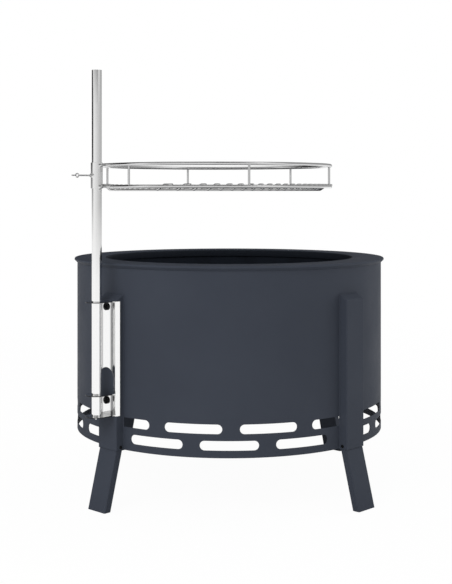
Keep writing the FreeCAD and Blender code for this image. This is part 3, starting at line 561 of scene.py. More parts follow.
@dataclass(frozen=True)
class BlackPlug(Finish):
    """Moulded plug with a fine matt texture."""

    colour: Colour = (0.012, 0.012, 0.013)
    pale: Colour = (0.018, 0.018, 0.019)
    tone: Drift = Drift(300.0)
    rough: Drift = Drift(500.0, low=0.5, high=0.62)
    grain: Relief = Relief(2600.0, strength=0.2, depth=0.00008, edge=0.0003)


@dataclass(frozen=True)
class SootySteel:
    """Heat-proof black paint, dulled by soot towards the fire."""

    colour: Colour = (0.0126, 0.0158, 0.0226)
    soot: Colour = (0.0050, 0.0054, 0.0066)
    clean_level: float = -0.02
    black_level: float = -0.24
    cloud: float = 22.0
    rough: Point = (0.52, 0.86)
    gloss: float = 0.06
    grain: Relief = Relief(520.0, strength=0.25, depth=0.00025, edge=0.0005)

    def paint(self, surface: Surface) -> None:
        """Set up the finish.

        Args:
            surface: The tree of the material that takes it.
        """
        soot = surface.effect(Effect.SOOT, Clean=self.clean_level, Black=self.black_level, Cloud=self.cloud)
        colour = surface.mix_colours(soot, rgba(self.colour), rgba(self.soot))
        surface.feed(surface.shader, Base_Color=colour, Specular_IOR_Level=self.gloss)
        surface.feed(surface.shader, Roughness=surface.spread(soot, UNIT, self.rough))
        surface.grain(self.grain)


@dataclass(frozen=True)
class BrightSteel:
    """Polished metal with faint drawing lines and handling marks.

    On the folded bracket, the tabs' cut edges get a painted dark reflection, painted shade lies along the
    folds and the sides lean outwards. The places where these start are distances from the pit's axis or
    from the bracket's middle.
    """

    colour: Colour = (0.955, 0.955, 0.95)
    shade: Colour = (0.90, 0.90, 0.90)
    marks: Drift = Drift(40.0, low=0.07, high=0.13)
    lines: Relief = Relief(1400.0, strength=0.4, depth=0.000004, edge=0.0007)
    lines_along: float = 7.0
    painted_dark_edge_reflection: Colour = (0.045, 0.045, 0.047)
    cut_roughness: float = 0.3
    painted_fold_shade: Colour = (0.24, 0.24, 0.245)
    side_lean: float = 0.32
    upright: Point = (0.6, 0.4)
    tabs_from: Point = (0.3255, 0.3265)
    sides_from: Point = (0.3224, 0.3196)
    fold_near: Point = (0.0085, 0.0140)
    fold_far: Point = (0.0205, 0.0150)

    def folded_places(self, surface: Surface) -> tuple[Socket, ...]:
        """Masks of the bracket's cut tab edges (painted dark reflection), of its sides and of the painted
        shade along its folds.

        Args:
            surface: The material's tree.

        Returns:
            The three masks' sockets.
        """
        turned = surface.add("Mapping")
        surface.feed(turned, Vector=surface.place(), Rotation=(0.0, 0.0, -POLE_LEG))
        outward, across, _ = surface.parts(turned.outputs[0])
        _, _, rise = surface.parts(surface.normal())
        tilt = surface.sum("ABSOLUTE", rise)
        folded = surface.add("ObjectInfo").outputs["Object Index"]
        upright = surface.sum("MULTIPLY", folded, surface.spread(tilt, self.upright))
        tabs = surface.spread(outward, self.tabs_from)
        sides = surface.spread(outward, self.sides_from)
        aside = surface.sum("ABSOLUTE", across)
        near = surface.spread(aside, self.fold_near)
        far = surface.spread(aside, self.fold_far)
        face = surface.spread(outward, self.tabs_from, (1.0, 0.0))
        folds = surface.sum("MULTIPLY", face, surface.sum("MULTIPLY", near, far))
        return tuple(surface.sum("MULTIPLY", upright, part) for part in (tabs, sides, folds))

    def paint(self, surface: Surface) -> None:
        """Set up the finish.

        Args:
            surface: The tree of the material that takes it.
        """
        cuts, sides, folds = self.folded_places(surface)
        lines = surface.effect(Effect.LINES, Across=self.lines.scale, Along=self.lines_along)
        colour = surface.mix_colours(lines, rgba(self.colour), rgba(self.shade))
        # Painted shade: the web darkens in bands along its folds.
        colour = surface.mix_colours(folds, colour, rgba(self.painted_fold_shade))
        # Painted reflection: the tabs' cut edges are coloured near black, as if they mirrored dark
        # surroundings.
        colour = surface.mix_colours(cuts, colour, rgba(self.painted_dark_edge_reflection))
        dulled = surface.sum("MULTIPLY", cuts, self.cut_roughness)
        roughness = surface.sum("ADD", surface.drift(self.marks), dulled)
        surface.feed(surface.shader, Base_Color=colour, Roughness=roughness, Metallic=1.0)
        lean = surface.vector("SCALE", (math.cos(POLE_LEG), math.sin(POLE_LEG), 0.0))
        surface.feed(lean, Scale=surface.sum("MULTIPLY", sides, self.side_lean))
        surface.bump(lines, self.lines, lean.outputs[0])


FINISHES = {
    Slot.DARK_STEEL: CoatedSteel(),
    Slot.CHAMBER_STEEL: SootySteel(),
    Slot.FIRE_IRON: CastIron(),
    Slot.BLACK_SCREWS: BlackenedSteel(),
    Slot.BRIGHT_STEEL: BrightSteel(),
    Slot.BRIGHT_WIRE: BrightSteel(
        colour=(0.74, 0.74, 0.74), shade=(0.66, 0.66, 0.665), marks=Drift(40.0, low=0.05, high=0.10)
    ),
    Slot.BLACK_PLUG: BlackPlug(),
}


class Wardrobe:
    """Makes each slot's material once and dresses pieces in it."""

    def __init__(self) -> None:
        """Make every slot's material."""
        self.materials = {}
        for slot, finish in FINISHES.items():
            surface = Surface(slot)
            finish.paint(surface)
            self.materials[slot] = surface.material

    def dress_frame(self) -> None:
        """Give every node of the frame its finish, by the slot that its packed material names."""
        for name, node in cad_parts.items():
            slot = Slot(node.data.materials[0].name.split(".")[0])
            node.data.materials[0] = self.materials[slot]
            node.pass_index = int(name == FOLDED_NODE)
            LOG.info("dressed %s in %s", name, slot.value)

    def install(self, piece: Piece, slot: Slot, body: Body, *replaced: str) -> None:
        """Dress a new piece and hang it on its body.

        Args:
            piece: The new piece, in place.
            slot: The slot whose finish it takes.
            body: The body that it rides on.
            replaced: The nodes that it stands for.
        """
        piece.data.materials.clear()
        piece.data.materials.append(self.materials[slot])
        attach(piece, body.value)
        if replaced:
            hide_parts(*replaced)
        LOG.info("made %s on %s", piece.name, body.value)


def place_mesh(name: str, shape: Shape) -> Piece:
    """Turn a finished shape into a smooth-shaded object of the scene.

    Args:
        name: The piece's name.
        shape: The shape, which is used up.

    Returns:
        The new object.
    """
    mesh = bpy.data.meshes.new(name)
    shape.to_mesh(mesh)
    shape.free()
    mesh.shade_smooth()
    piece = bpy.data.objects.new(name, mesh)
    bpy.context.scene.collection.objects.link(piece)
    return piece


def thicken(piece: Piece, sheet: float) -> None:
    """Give a skin the thickness of its sheet, inwards from the modelled face.

    Args:
        piece: The skin.
        sheet: The sheet's thickness.
    """
    modifier = piece.modifiers.new("sheet", "SOLIDIFY")
    modifier.thickness = sheet
    modifier.offset = -1.0
    modifier.use_even_offset = True


def soften(piece: Piece, width: float) -> None:
    """Round a piece's sharp edges.

    Args:
        piece: The piece.
        width: How far from an edge the rounding starts.
    """
    modifier = piece.modifiers.new("edges", "BEVEL")
    modifier.width = width
    modifier.segments = 2
    modifier.limit_method = "ANGLE"
    modifier.angle_limit = SHARP_ANGLE
    modifier.harden_normals = True


def polar(radius: float, angle: float, z: float) -> Vector:
    """The place at a radius and an angle about the Z axis."""
    return Vector((radius * math.cos(angle), radius * math.sin(angle), z))


def even_turns(count: int) -> list[float]:
    """The angles that divide a full turn evenly."""
    return [math.tau * i / count for i in range(count)]


def arc(middle: Point, radius: float, start: float, end: float, steps: int) -> list[Point]:
    """Points along an arc, ends included.

    Args:
        middle: The arc's centre.
        radius: The arc's radius.
        start: The first point's angle, in degrees.
        end: The last point's angle, in degrees.
        steps: How many chords it has.

    Returns:
        The arc's points.
    """
    angles = [math.radians(start + (end - start) * i / steps) for i in range(steps + 1)]
    return [(middle[0] + radius * math.cos(a), middle[1] + radius * math.sin(a)) for a in angles]


def join_rings(shape: Shape, rings: list[Ring], capped: bool = False) -> None:
    """Join rings of corners with faces, each ring to the next.

    Args:
        shape: The shape that the corners belong to.
        rings: The rings in order, all with the same number of corners.
        capped: Whether a face closes the first ring and another the last.
    """
    for first, second in zip(rings, rings[1:]):
        for k in range(len(first)):
            j = (k + 1) % len(first)
            corners = dict.fromkeys((first[k], first[j], second[j], second[k]))
            shape.faces.new(list(corners))
    if capped:
        shape.faces.new(list(reversed(rings[0])))
        shape.faces.new(rings[-1])


def lathe(name: str, outline: list[Point], columns: int, closed: bool) -> Piece:
    """Turn an outline about the Z axis.

    Args:
        name: The piece's name.
        outline: Radius and height of each point, outer face first and upwards.
        columns: Divisions of a full turn.
        closed: Whether the last point joins the first.

    Returns:
        The turned piece.
    """
    shape = bmesh.new()
    rings = []
    for radius, z in outline:
        if radius:
            rings.append([shape.verts.new(polar(radius, angle, z)) for angle in even_turns(columns)])
        else:
            rings.append([shape.verts.new((0.0, 0.0, z))] * columns)
    if closed:
        rings.append(rings[0])
    join_rings(shape, rings)
    if closed:
        bmesh.ops.recalc_face_normals(shape, faces=shape.faces)
    return place_mesh(name, shape)


def sweep(
    shape: Shape,
    path: list[Vector],
    radius_at: Callable[[int, float], float],
    sides: int,
    closed: bool = False,
) -> None:
    """Add a tube along a path to a shape.

    Args:
        shape: The shape that it is added to.
        path: The tube's middle line.
        radius_at: Gives the radius at a step of the path and an angle round it.
        sides: Divisions round the tube.
        closed: Whether the path's end joins its start.
    """
    count = len(path)
    steps = range(count)
    ahead = [path[(i + 1) % count] if closed else path[min(i + 1, count - 1)] for i in steps]
    behind = [path[i - 1] if closed else path[max(i - 1, 0)] for i in steps]
    aims = [(a - b).normalized() for a, b in zip(ahead, behind)]
    across = aims[0].orthogonal().normalized()
    rings = []
    for i in steps:
        across = (across - aims[i] * across.dot(aims[i])).normalized()
        up = aims[i].cross(across)
        ring = []
        for angle in even_turns(sides):
            out = across * math.cos(angle) + up * math.sin(angle)
            ring.append(shape.verts.new(path[i] + out * radius_at(i, angle)))
        rings.append(ring)
    if closed:
        rings.append(rings[0])
    join_rings(shape, rings, capped=not closed)


@dataclass(frozen=True)
class OpeningRow:
    """A row of round-ended openings, evenly spaced round a wall."""

    count: int
    length: float
    height: float
    middle: float
    turn: float
    margin: float

    @property
    def levels(self) -> Point:
        """The heights between which the row's openings are cut."""
        reach = self.height / 2 + self.margin
        return self.middle - reach, self.middle + reach

    def edge(self, angle: float, z: float, radius: float) -> Point:
        """The point of an opening's edge that is nearest to a point of the wall round it.

        Args:
            angle: The wall point's angle from the opening's middle, in radians.
            z: The wall point's height.
            radius: The wall's radius.

        Returns:
            The edge point's angle and height.
        """
        end = self.height / 2
        straight = self.length / 2 - end
        across = radius * math.sin(angle)
        core = max(-straight, min(straight, across))
        aim = Vector((across - core, z - self.middle)).normalized() * end
        return math.asin((core + aim.x) / radius), self.middle + aim.y


class RoundWall:
    """Skin of a round upright wall with rows of openings, on an even grid of columns."""

    side_steps = 8
    ring_steps = 3
    fold_steps = 5
    plain_step = 0.045
    levels_per_metre = 1e6

    def __init__(self, radius: float, levels: Point, rows: list[OpeningRow], columns: int) -> None:
        """Build the skin, its faces looking outwards.

        Args:
            radius: The wall's outside.
            levels: The wall's lower and upper edge.
            rows: The rows of openings, from the lowest up.
            columns: Divisions of a full turn, a multiple of every row's count.
        """
        self.radius = radius
        self.columns = columns
        self.step = math.tau / columns
        self.shape = bmesh.new()
        self.shared: dict[tuple[int, int], Corner] = {}
        start = levels[0]
        for row in rows:
            low, high = row.levels
            self.plain_band(start, low)
            self.opening_band(row, low, high)
            start = high
        self.plain_band(start, levels[1])

    def point(self, angle: float, z: float, radius: float | None = None) -> Corner:
        """A new corner, turned to the right of the front, on the wall or at a radius of its own."""
        reach = radius or self.radius
        return self.shape.verts.new((reach * math.sin(angle), -reach * math.cos(angle), z))

    def corner(self, column: int, z: float) -> Corner:
        """The corner that the faces round a grid point share.

        Args:
            column: The grid point's column.
            z: The grid point's height.

        Returns:
            The corner, which is made when it is first asked for.
        """
        key = (column % self.columns, round(z * self.levels_per_metre))
        if key not in self.shared:
            self.shared[key] = self.point(column * self.step, z)
        return self.shared[key]

    def plain_band(self, low: float, high: float) -> None:
        """A stretch of wall with no openings.

        Args:
            low: The stretch's lower edge.
            high: The stretch's upper edge.
        """
        if high - low < 1 / self.levels_per_metre:
            return
        count = math.ceil((high - low) / self.plain_step)
        levels = [low + (high - low) * i / count for i in range(count + 1)]
        for below, above in zip(levels, levels[1:]):
            for k in range(self.columns):
                ends = ((k, below), (k + 1, below), (k + 1, above), (k, above))
                self.shape.faces.new([self.corner(*end) for end in ends])

    def opening_band(self, row: OpeningRow, low: float, high: float) -> None:
        """A stretch of wall with one row of openings, each in a cell of its own.

        Args:
            row: The row of openings.
            low: The stretch's lower edge.
            high: The stretch's upper edge.
        """
        wide = self.columns // row.count
        rise = (high - low) / self.side_steps
        for i in range(row.count):
            middle = math.radians(row.turn) + math.tau * i / row.count
            first = round((middle - math.pi / row.count) / self.step)
            border = [(first + k, low) for k in range(wide)]
            border += [(first + wide, low + rise * k) for k in range(self.side_steps)]
            border += [(first + wide - k, high) for k in range(wide)]
            border += [(first, high - rise * k) for k in range(self.side_steps)]
            self.ring_faces(row, middle, border)

    def ring_faces(self, row: OpeningRow, middle: float, border: list[tuple[int, float]]) -> None:
        """Rings of faces between a cell's border and its opening's edge.

        Args:
            row: The row of openings.
            middle: The opening's angle from the front, in radians.
            border: Columns and heights round the cell.
        """
        rings = [[self.corner(column, z) for column, z in border]]
        for t in range(1, self.ring_steps + 1):
            share = t / self.ring_steps
            inner = []
            for column, z in border:
                angle = column * self.step - middle
                edge_angle, edge_z = row.edge(angle, z, self.radius)
                spot = angle + (edge_angle - angle) * share
                inner.append(self.point(middle + spot, z + (edge_z - z) * share))
            rings.append(inner)
        join_rings(self.shape, rings)

    def turn_in(self, level: float, bend: float, inside: float) -> None:
        """Fold the wall's foot inwards to a flat flange.

        Args:
            level: The wall's lower edge, where the fold starts.
            bend: The fold's outer radius.
            inside: The flange's inner radius.
        """
        fold = arc((self.radius - bend, level), bend, 0.0, -90.0, self.fold_steps)[1:]
        fold += [(inside, level - bend)]
        above = [self.corner(k, level) for k in range(self.columns)]
        for radius, z in fold:
            below = [self.point(k * self.step, z, radius) for k in range(self.columns)]
            join_rings(self.shape, [below, above])
            above = below


@dataclass
class Assembly:
    """A sub-assembly, which dresses its pieces from one wardrobe."""

    wardrobe: Wardrobe


@dataclass
class OuterShell(Assembly):
    """Round outer wall with two staggered rows of air slots along its lower edge."""

    sheet: float = 0.0015
    slot_count: int = 14
    slot_length: float = 0.1051
    slot_height: float = 0.017
    slot_margin: float = 0.006
    lower_rise: float = 0.0217
    upper_rise: float = 0.0507
    lower_turn: float = -1.08
    upper_turn: float = 12.34
    columns_per_slot: int = 46
    edge_round: float = 0.0003

    def slot_row(self, middle: float, turn: float) -> OpeningRow:
        """One of the two rows of slots."""
        return OpeningRow(
            self.slot_count, self.slot_length, self.slot_height, middle, turn, self.slot_margin
        )

    def build(self) -> None:
        """Make the wall in place of the plain shell."""
        low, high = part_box("outer_shell")
        rows = [
            self.slot_row(low.z + self.lower_rise, self.lower_turn),
            self.slot_row(low.z + self.upper_rise, self.upper_turn),
        ]
        wall = RoundWall(high.x, (low.z, high.z), rows, self.slot_count * self.columns_per_slot)
        piece = place_mesh("shell_wall", wall.shape)
        thicken(piece, self.sheet)
        soften(piece, self.edge_round)
        self.wardrobe.install(piece, Slot.DARK_STEEL, Body.PIT, "outer_shell")


@dataclass
class RimRing(Assembly):
    """Flat rim that joins the two walls, with a rolled outer lip and a lip turned down inside."""

    mouth: float = 0.246
    sheet: float = 0.0032
    lip: float = 0.0052
    roll: float = 0.0055
    bend: float = 0.0024
    hem: float = 0.0006
    edge_round: float = 0.0002
    columns: int = 360
    bend_steps: int = 6
    hem_steps: int = 2

    def build(self) -> None:
        """Make the rim in place of the plain ring."""
        low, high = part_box("top_ring")
        outside = min(-low.x, -low.y, high.x, high.y)
        inside = outside - self.roll
        middle = (outside + self.mouth) / 2
        back = self.mouth + self.sheet
        bend, hem, steps = self.bend, self.hem, self.bend_steps
        bead = arc((outside - bend, bend - self.lip), bend, -45, 0, steps)[:-1]
        # The lip's underside slopes up at 45 degrees from the shell to the bead.
        outline = [(inside, bead[0][1] - bead[0][0] + inside)] + bead
        outline += arc((outside - bend, high.z - bend), bend, 0, 90, steps)
        outline += [(middle, high.z)]
        outline += arc((self.mouth + bend, high.z - bend), bend, 90, 180, steps)
        outline += arc((self.mouth + hem, low.z + hem), hem, 180, 270, self.hem_steps)
        outline += arc((back - hem, low.z + hem), hem, 270, 360, self.hem_steps)
        outline += [(radius, -self.sheet) for radius in (back, middle, inside)]
        piece = lathe("rim_ring", outline, self.columns, closed=True)
        soften(piece, self.edge_round)
        self.wardrobe.install(piece, Slot.DARK_STEEL, Body.PIT, "top_ring")


@dataclass
class FireChamber(Assembly):
    """Inner wall with air holes near the rim and near the floor, and a flange for the floor."""

    sheet: float = 0.0015
    flange: float = 0.0215
    bend: float = 0.0025
    upper_count: int = 36
    upper_hole: float = 0.010
    upper_drop: float = 0.052
    lower_count: int = 24
    lower_hole: float = 0.014
    lower_rise: float = 0.028
    hole_margin: float = 0.006
    columns: int = 720
    edge_round: float = 0.0003

    def hole_row(self, count: int, across: float, middle: float) -> OpeningRow:
        """One of the two rows of round holes."""
        return OpeningRow(count, across, across, middle, 0.0, self.hole_margin)

    def build(self) -> None:
        """Make the wall in place of the plain chamber."""
        low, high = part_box("fire_chamber")
        rows = [
            self.hole_row(self.lower_count, self.lower_hole, low.z + self.lower_rise),
            self.hole_row(self.upper_count, self.upper_hole, -self.upper_drop),
        ]
        foot = low.z + self.bend
        wall = RoundWall(high.x, (foot, high.z), rows, self.columns)
        wall.turn_in(foot, self.bend, high.x - self.flange)
        piece = place_mesh("chamber_wall", wall.shape)
        thicken(piece, self.sheet)
        soften(piece, self.edge_round)
        self.wardrobe.install(piece, Slot.CHAMBER_STEEL, Body.PIT, "fire_chamber")


@dataclass
class AshPan(Assembly):
    """Pressed round pan with a rolled shoulder, hung by its flange in the chamber floor."""

    bowl: float = 0.1175
    sheet: float = 0.0015
    corner: float = 0.007
    shoulder: float = 0.0026
    edge_round: float = 0.0003
    columns: int = 192
    steps: int = 7

    def build(self) -> None:
        """Make the pan in place of the plain one."""
        low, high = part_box("ash_pan")
        under = high.z - self.sheet
        corner, shoulder = self.corner, self.shoulder
        outline = [(0.0, low.z), (self.bowl / 2, low.z)]
        outline += arc((self.bowl - corner, low.z + corner), corner, -90, 0, self.steps)
        outline += arc((self.bowl + shoulder, under - shoulder), shoulder, 180, 90, self.steps)
        outline += [(high.x, under)]
        piece = lathe("pressed_ash_pan", outline, self.columns, closed=False)
        thicken(piece, self.sheet)
        soften(piece, self.edge_round)
        self.wardrobe.install(piece, Slot.CHAMBER_STEEL, Body.ASH_PAN, "ash_pan")


@dataclass
class LegSet(Assembly):
    """Weld beads round the leg channels, and the screws that hold the legs in them.

    A screw's dome is listed as shares of its head's radius and height.
    """

    channel_width: float = 0.0503
    channel_depth: float = 0.0161
    cap_drop: float = 0.0657
    cap_rise: float = 0.0093
    cap_steps: int = 24
    bead: float = 0.0013
    bead_sides: int = 10
    ripple: float = 0.00025
    ripple_pitch: float = 0.0022
    ripple_steps: int = 3
    screw_rise: float = 0.005
    screw_depth: float = 0.0056
    screw_sides: int = 36
    head_radius: float = 0.0031
    head_height: float = 0.0019
    seat_share: float = 0.97
    dome: tuple[Point, ...] = ((1.0, 0.35), (0.86, 0.78), (0.66, 1.0))
    socket_corner: float = 0.0017
    socket_depth: float = 0.0012
    shank_radius: float = 0.002
    shank_length: float = 0.007
    edge_round: float = 0.00015

    def bead_path(self, radius: float, skirt: float) -> list[Vector]:
        """The line where a channel that points along +X meets the shell, up one side and down the other.

        Args:
            radius: The shell's outside.
            skirt: The shell's lower edge.

        Returns:
            The bead's points, a few to each ripple.
        """
        half = self.channel_width / 2
        side = math.sqrt(radius**2 - half**2)
        slope = self.cap_rise / self.channel_depth
        face = radius + self.channel_depth
        over = []
        for i in range(self.cap_steps + 1):
            y = half * (2 * i / self.cap_steps - 1)
            x = math.sqrt(radius**2 - y**2)
            over.append(Vector((x, y, -self.cap_drop + slope * (face - x))))
        rises = math.ceil((over[0].z - skirt) / (self.ripple_pitch / self.ripple_steps))
        climb = [skirt + (over[0].z - skirt) * i / rises for i in range(rises)]
        up = [Vector((side, -half, z)) for z in climb]
        down = [Vector((side, half, z)) for z in reversed(climb)]
        return up + over + down

    def bead_radius(self, step: int, angle: float) -> float:
        """The bead's radius at a step of its path and an angle round it, swelling with each ripple."""
        return self.bead + self.ripple * math.sin(math.tau * step / self.ripple_steps + math.cos(angle))

    def build_beads(self) -> None:
        """Run a weld bead round each channel."""
        low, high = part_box("outer_shell")
        path = self.bead_path(high.x, low.z)
        for name, azimuth in LEGS.items():
            turn = Matrix.Rotation(math.radians(azimuth), 3, "Z")
            shape = bmesh.new()
            sweep(shape, [turn @ point for point in path], self.bead_radius, self.bead_sides)
            self.wardrobe.install(place_mesh(f"channel_weld_{name}", shape), Slot.DARK_STEEL, Body.PIT)

    def socket_radius(self, angle: float) -> float:
        """The radius of a screw's hexagon socket at an angle."""
        flat = self.socket_corner * math.cos(math.pi / 6)
        return flat / math.cos((angle % (math.pi / 3)) - math.pi / 6)

    def add_screw(self, shape: Shape, place: Matrix) -> None:
        """Add a domed screw with a hexagon socket, its head's seat at the place's origin and facing +Z.

        Args:
            shape: The shape that it is added to.
            place: Where the screw goes.
        """
        outline = [(self.shank_radius, -self.shank_length), (self.shank_radius, 0.0)]
        outline += [(self.head_radius * self.seat_share, 0.0)]
        outline += [(self.head_radius * wide, self.head_height * tall) for wide, tall in self.dome]
        angles = even_turns(self.screw_sides)
        spots = [[polar(radius, angle, z) for angle in angles] for radius, z in outline]
        for z in (self.head_height, self.head_height - self.socket_depth):
            spots.append([polar(self.socket_radius(angle), angle, z) for angle in angles])
        rings = [[shape.verts.new(place @ spot) for spot in ring] for ring in spots]
        join_rings(shape, rings, capped=True)

    def build_screws(self) -> None:
        """Make the eight leg screws in place of the plain ones."""
        low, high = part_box("outer_shell")
        shape = bmesh.new()
        for azimuth in LEGS.values():
            turn = Matrix.Rotation(math.radians(azimuth), 4, "Z")
            for hand in (1, -1):
                aside = hand * self.channel_width / 2
                seat = Matrix.Translation((high.x + self.screw_depth, aside, low.z + self.screw_rise))
                aim = Matrix.Rotation(math.radians(-90 * hand), 4, "X")
                self.add_screw(shape, turn @ seat @ aim)
        piece = place_mesh("leg_socket_screws", shape)
        soften(piece, self.edge_round)
        self.wardrobe.install(piece, Slot.BLACK_SCREWS, Body.PIT, "leg_screws")

    def build(self) -> None:
        """Make the beads and the screws."""
        self.build_beads()
        self.build_screws()


@dataclass
class CookingGrate(Assembly):
    """Welds of the wire basket and the lock screw of its collar."""

    grate_turn: float = 19.7
    basket_turn: float = -4.8
    ring_radius: float = 0.2152
    ring_wire: float = 0.003
    collar_radius: float = 0.01075
    post_count: int = 6
    post_bead: Place = (0.0026, 0.0026, 0.00095)
    collar_bead: Place = (0.00152, 0.00418, 0.0019)
    collar_bead_gap: float = 0.0004
    collar_bead_aside: float = 0.0035
    swell: float = 0.08
    swell_waves: Point = (5.0, 4.0)
    swell_start: float = 2.0
    dimple: float = 0.05
    dimple_waves: float = 7.0
    screw_turn: float = 204.3
    screw_rise: float = 0.0234
    shank_start: float = 0.0093
    shank_core: float = 0.00118
    shank_sides: int = 20
    thread_depth: float = 0.0003
    thread_pitch: float = 0.0007
    thread_steps: int = 6
    thread_end: float = 0.027
    eye_distance: float = 0.0443
    eye_radius: float = 0.0032
    eye_steps: int = 48
    eye_wire: float = 0.0011
    wire_sides: int = 16
    tail_end: float = 0.0569
    tail_cap: tuple[float, ...] = (0.0, 16.0, 32.0, 48.0, 64.0, 80.0)

    def pole_place(self) -> Matrix:
        """The pole's axis at the collar's foot, turned so that the grate lies along +X.

        Returns:
            The place as a matrix.
        """
        pole_low, pole_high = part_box("pole")
        collar_low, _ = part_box("grate_collar")
        middle = (pole_low + pole_high) / 2
        spot = Vector((middle.x, middle.y, collar_low.z))
        return Matrix.Translation(spot) @ Matrix.Rotation(math.radians(self.grate_turn), 4, "Z")

    def add_bead(self, shape: Shape, place: Matrix, stretch: Place) -> None:
        """Add one small weld bead, uneven like a real one.

        Args:
            shape: The shape that it is added to.
            place: Where the bead goes.
            stretch: The bead's half lengths.
        """
        made = bmesh.ops.create_icosphere(shape, subdivisions=2, radius=1.0)
        for vertex in made["verts"]:
            spot = vertex.co
            lengthwise = math.sin(self.swell_waves[0] * spot.x + self.swell_start)
            swell = 1.0 + self.swell * lengthwise * math.cos(self.swell_waves[1] * spot.y)
            swell += self.dimple * math.sin(self.dimple_waves * spot.z)
            vertex.co = place @ Vector([c * s * swell for c, s in zip(spot, stretch)])

    def build_welds(self) -> None:
        """Weld the posts to the hoops, and the hoops to the collar."""
        place = self.pole_place()
        reach = self.collar_radius + self.ring_radius + self.ring_wire
        grate = place @ Matrix.Translation((reach, 0.0, 0.0))
        hoops = []
        for row in ("lower", "upper"):
            low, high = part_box(f"grate_{row}_ring")
            hoops.append((low.z + high.z) / 2 - place.translation.z)
        shape = bmesh.new()
        for i in range(self.post_count):
            angle = math.tau * (i + 0.5) / self.post_count + math.radians(self.basket_turn)
            for z in (hoops[0] + self.ring_wire, hoops[1] - self.ring_wire):
                spot = grate @ Matrix.Translation(polar(self.ring_radius, angle, z))
                self.add_bead(shape, spot, self.post_bead)
        beside = self.collar_radius + self.collar_bead_gap
        for z in hoops:
            for hand in (1, -1):
                spot = place @ Matrix.Translation((beside, hand * self.collar_bead_aside, z))
                self.add_bead(shape, spot, self.collar_bead)
        self.wardrobe.install(place_mesh("grate_welds", shape), Slot.BRIGHT_WIRE, Body.GRATE)

    def shank_radius(self, reach: float, angle: float) -> float:
        """The lock screw's radius, with a thread as far as the thread's end.

        Args:
            reach: The distance from the pole's axis.
            angle: The angle round the screw.

        Returns:
            The radius there.
        """
        if reach > self.thread_end:
            return self.shank_core + self.thread_depth / 2
        wave = math.cos(math.tau * reach / self.thread_pitch - angle)
        return self.shank_core + self.thread_depth * (0.5 + 0.5 * wave)

    def build_lock_screw(self) -> None:
        """Make the threaded wire screw with its eye and tail, in place of the plain one."""
        place = self.pole_place() @ Matrix.Rotation(math.radians(self.screw_turn), 4, "Z")
        place = place @ Matrix.Translation((0.0, 0.0, self.screw_rise))
        shape = bmesh.new()

        length = self.eye_distance - self.eye_radius - self.shank_start
        count = math.ceil(length / (self.thread_pitch / self.thread_steps))
        reaches = [self.shank_start + length * i / count for i in range(count + 1)]
        shank = [place @ Vector((reach, 0.0, 0.0)) for reach in reaches]
        sweep(shape, shank, lambda i, angle: self.shank_radius(reaches[i], angle), self.shank_sides)

        eye = []
        for angle in even_turns(self.eye_steps):
            x = self.eye_distance + self.eye_radius * math.cos(angle)
            eye.append(place @ Vector((x, 0.0, self.eye_radius * math.sin(angle))))
        sweep(shape, eye, lambda i, angle: self.eye_wire, self.wire_sides, closed=True)

        cap = [math.radians(degrees) for degrees in self.tail_cap]
        tail = [self.eye_distance + self.eye_radius]
        tail += [self.tail_end - self.eye_wire + self.eye_wire * math.sin(angle) for angle in cap]
        radii = [self.eye_wire] + [self.eye_wire * math.cos(angle) for angle in cap]
        line = [place @ Vector((x, 0.0, 0.0)) for x in tail]
        sweep(shape, line, lambda i, angle: radii[i], self.wire_sides)

        piece = place_mesh("wire_lock_screw", shape)
        self.wardrobe.install(piece, Slot.BRIGHT_WIRE, Body.LOCK_SCREW, "lock_screw")

    def build(self) -> None:
        """Make the welds and the lock screw."""
        self.build_welds()
        self.build_lock_screw()


@dataclass
class PhotoCamera:
    """The level camera of the photograph, framed by its shift."""

    ground: float
    distance: float = 2.3055
    azimuth: float = -1.16
    eye_height: float = 0.5795
    lens: float = 70.09
    shift_right: float = -0.0054
    shift_up: float = -0.1734

    def build(self) -> None:
        """Set up the camera."""
        data = bpy.data.cameras.new("photo_camera")
        data.lens = self.lens
        data.shift_x = self.shift_right
        data.shift_y = self.shift_up
        camera = bpy.data.objects.new("photo_camera", data)
        aside = math.radians(self.azimuth)
        camera.location = (
            self.distance * math.sin(aside),
            -self.distance * math.cos(aside),
            self.ground + self.eye_height,
        )
        camera.rotation_euler = (math.pi / 2, 0.0, aside)
        bpy.context.scene.collection.objects.link(camera)
        bpy.context.scene.camera = camera


@dataclass(frozen=True)
class SoftLight:
    """A large lamp that looks at the pit."""

    name: str
    place: Place
    size: Point
    power: float


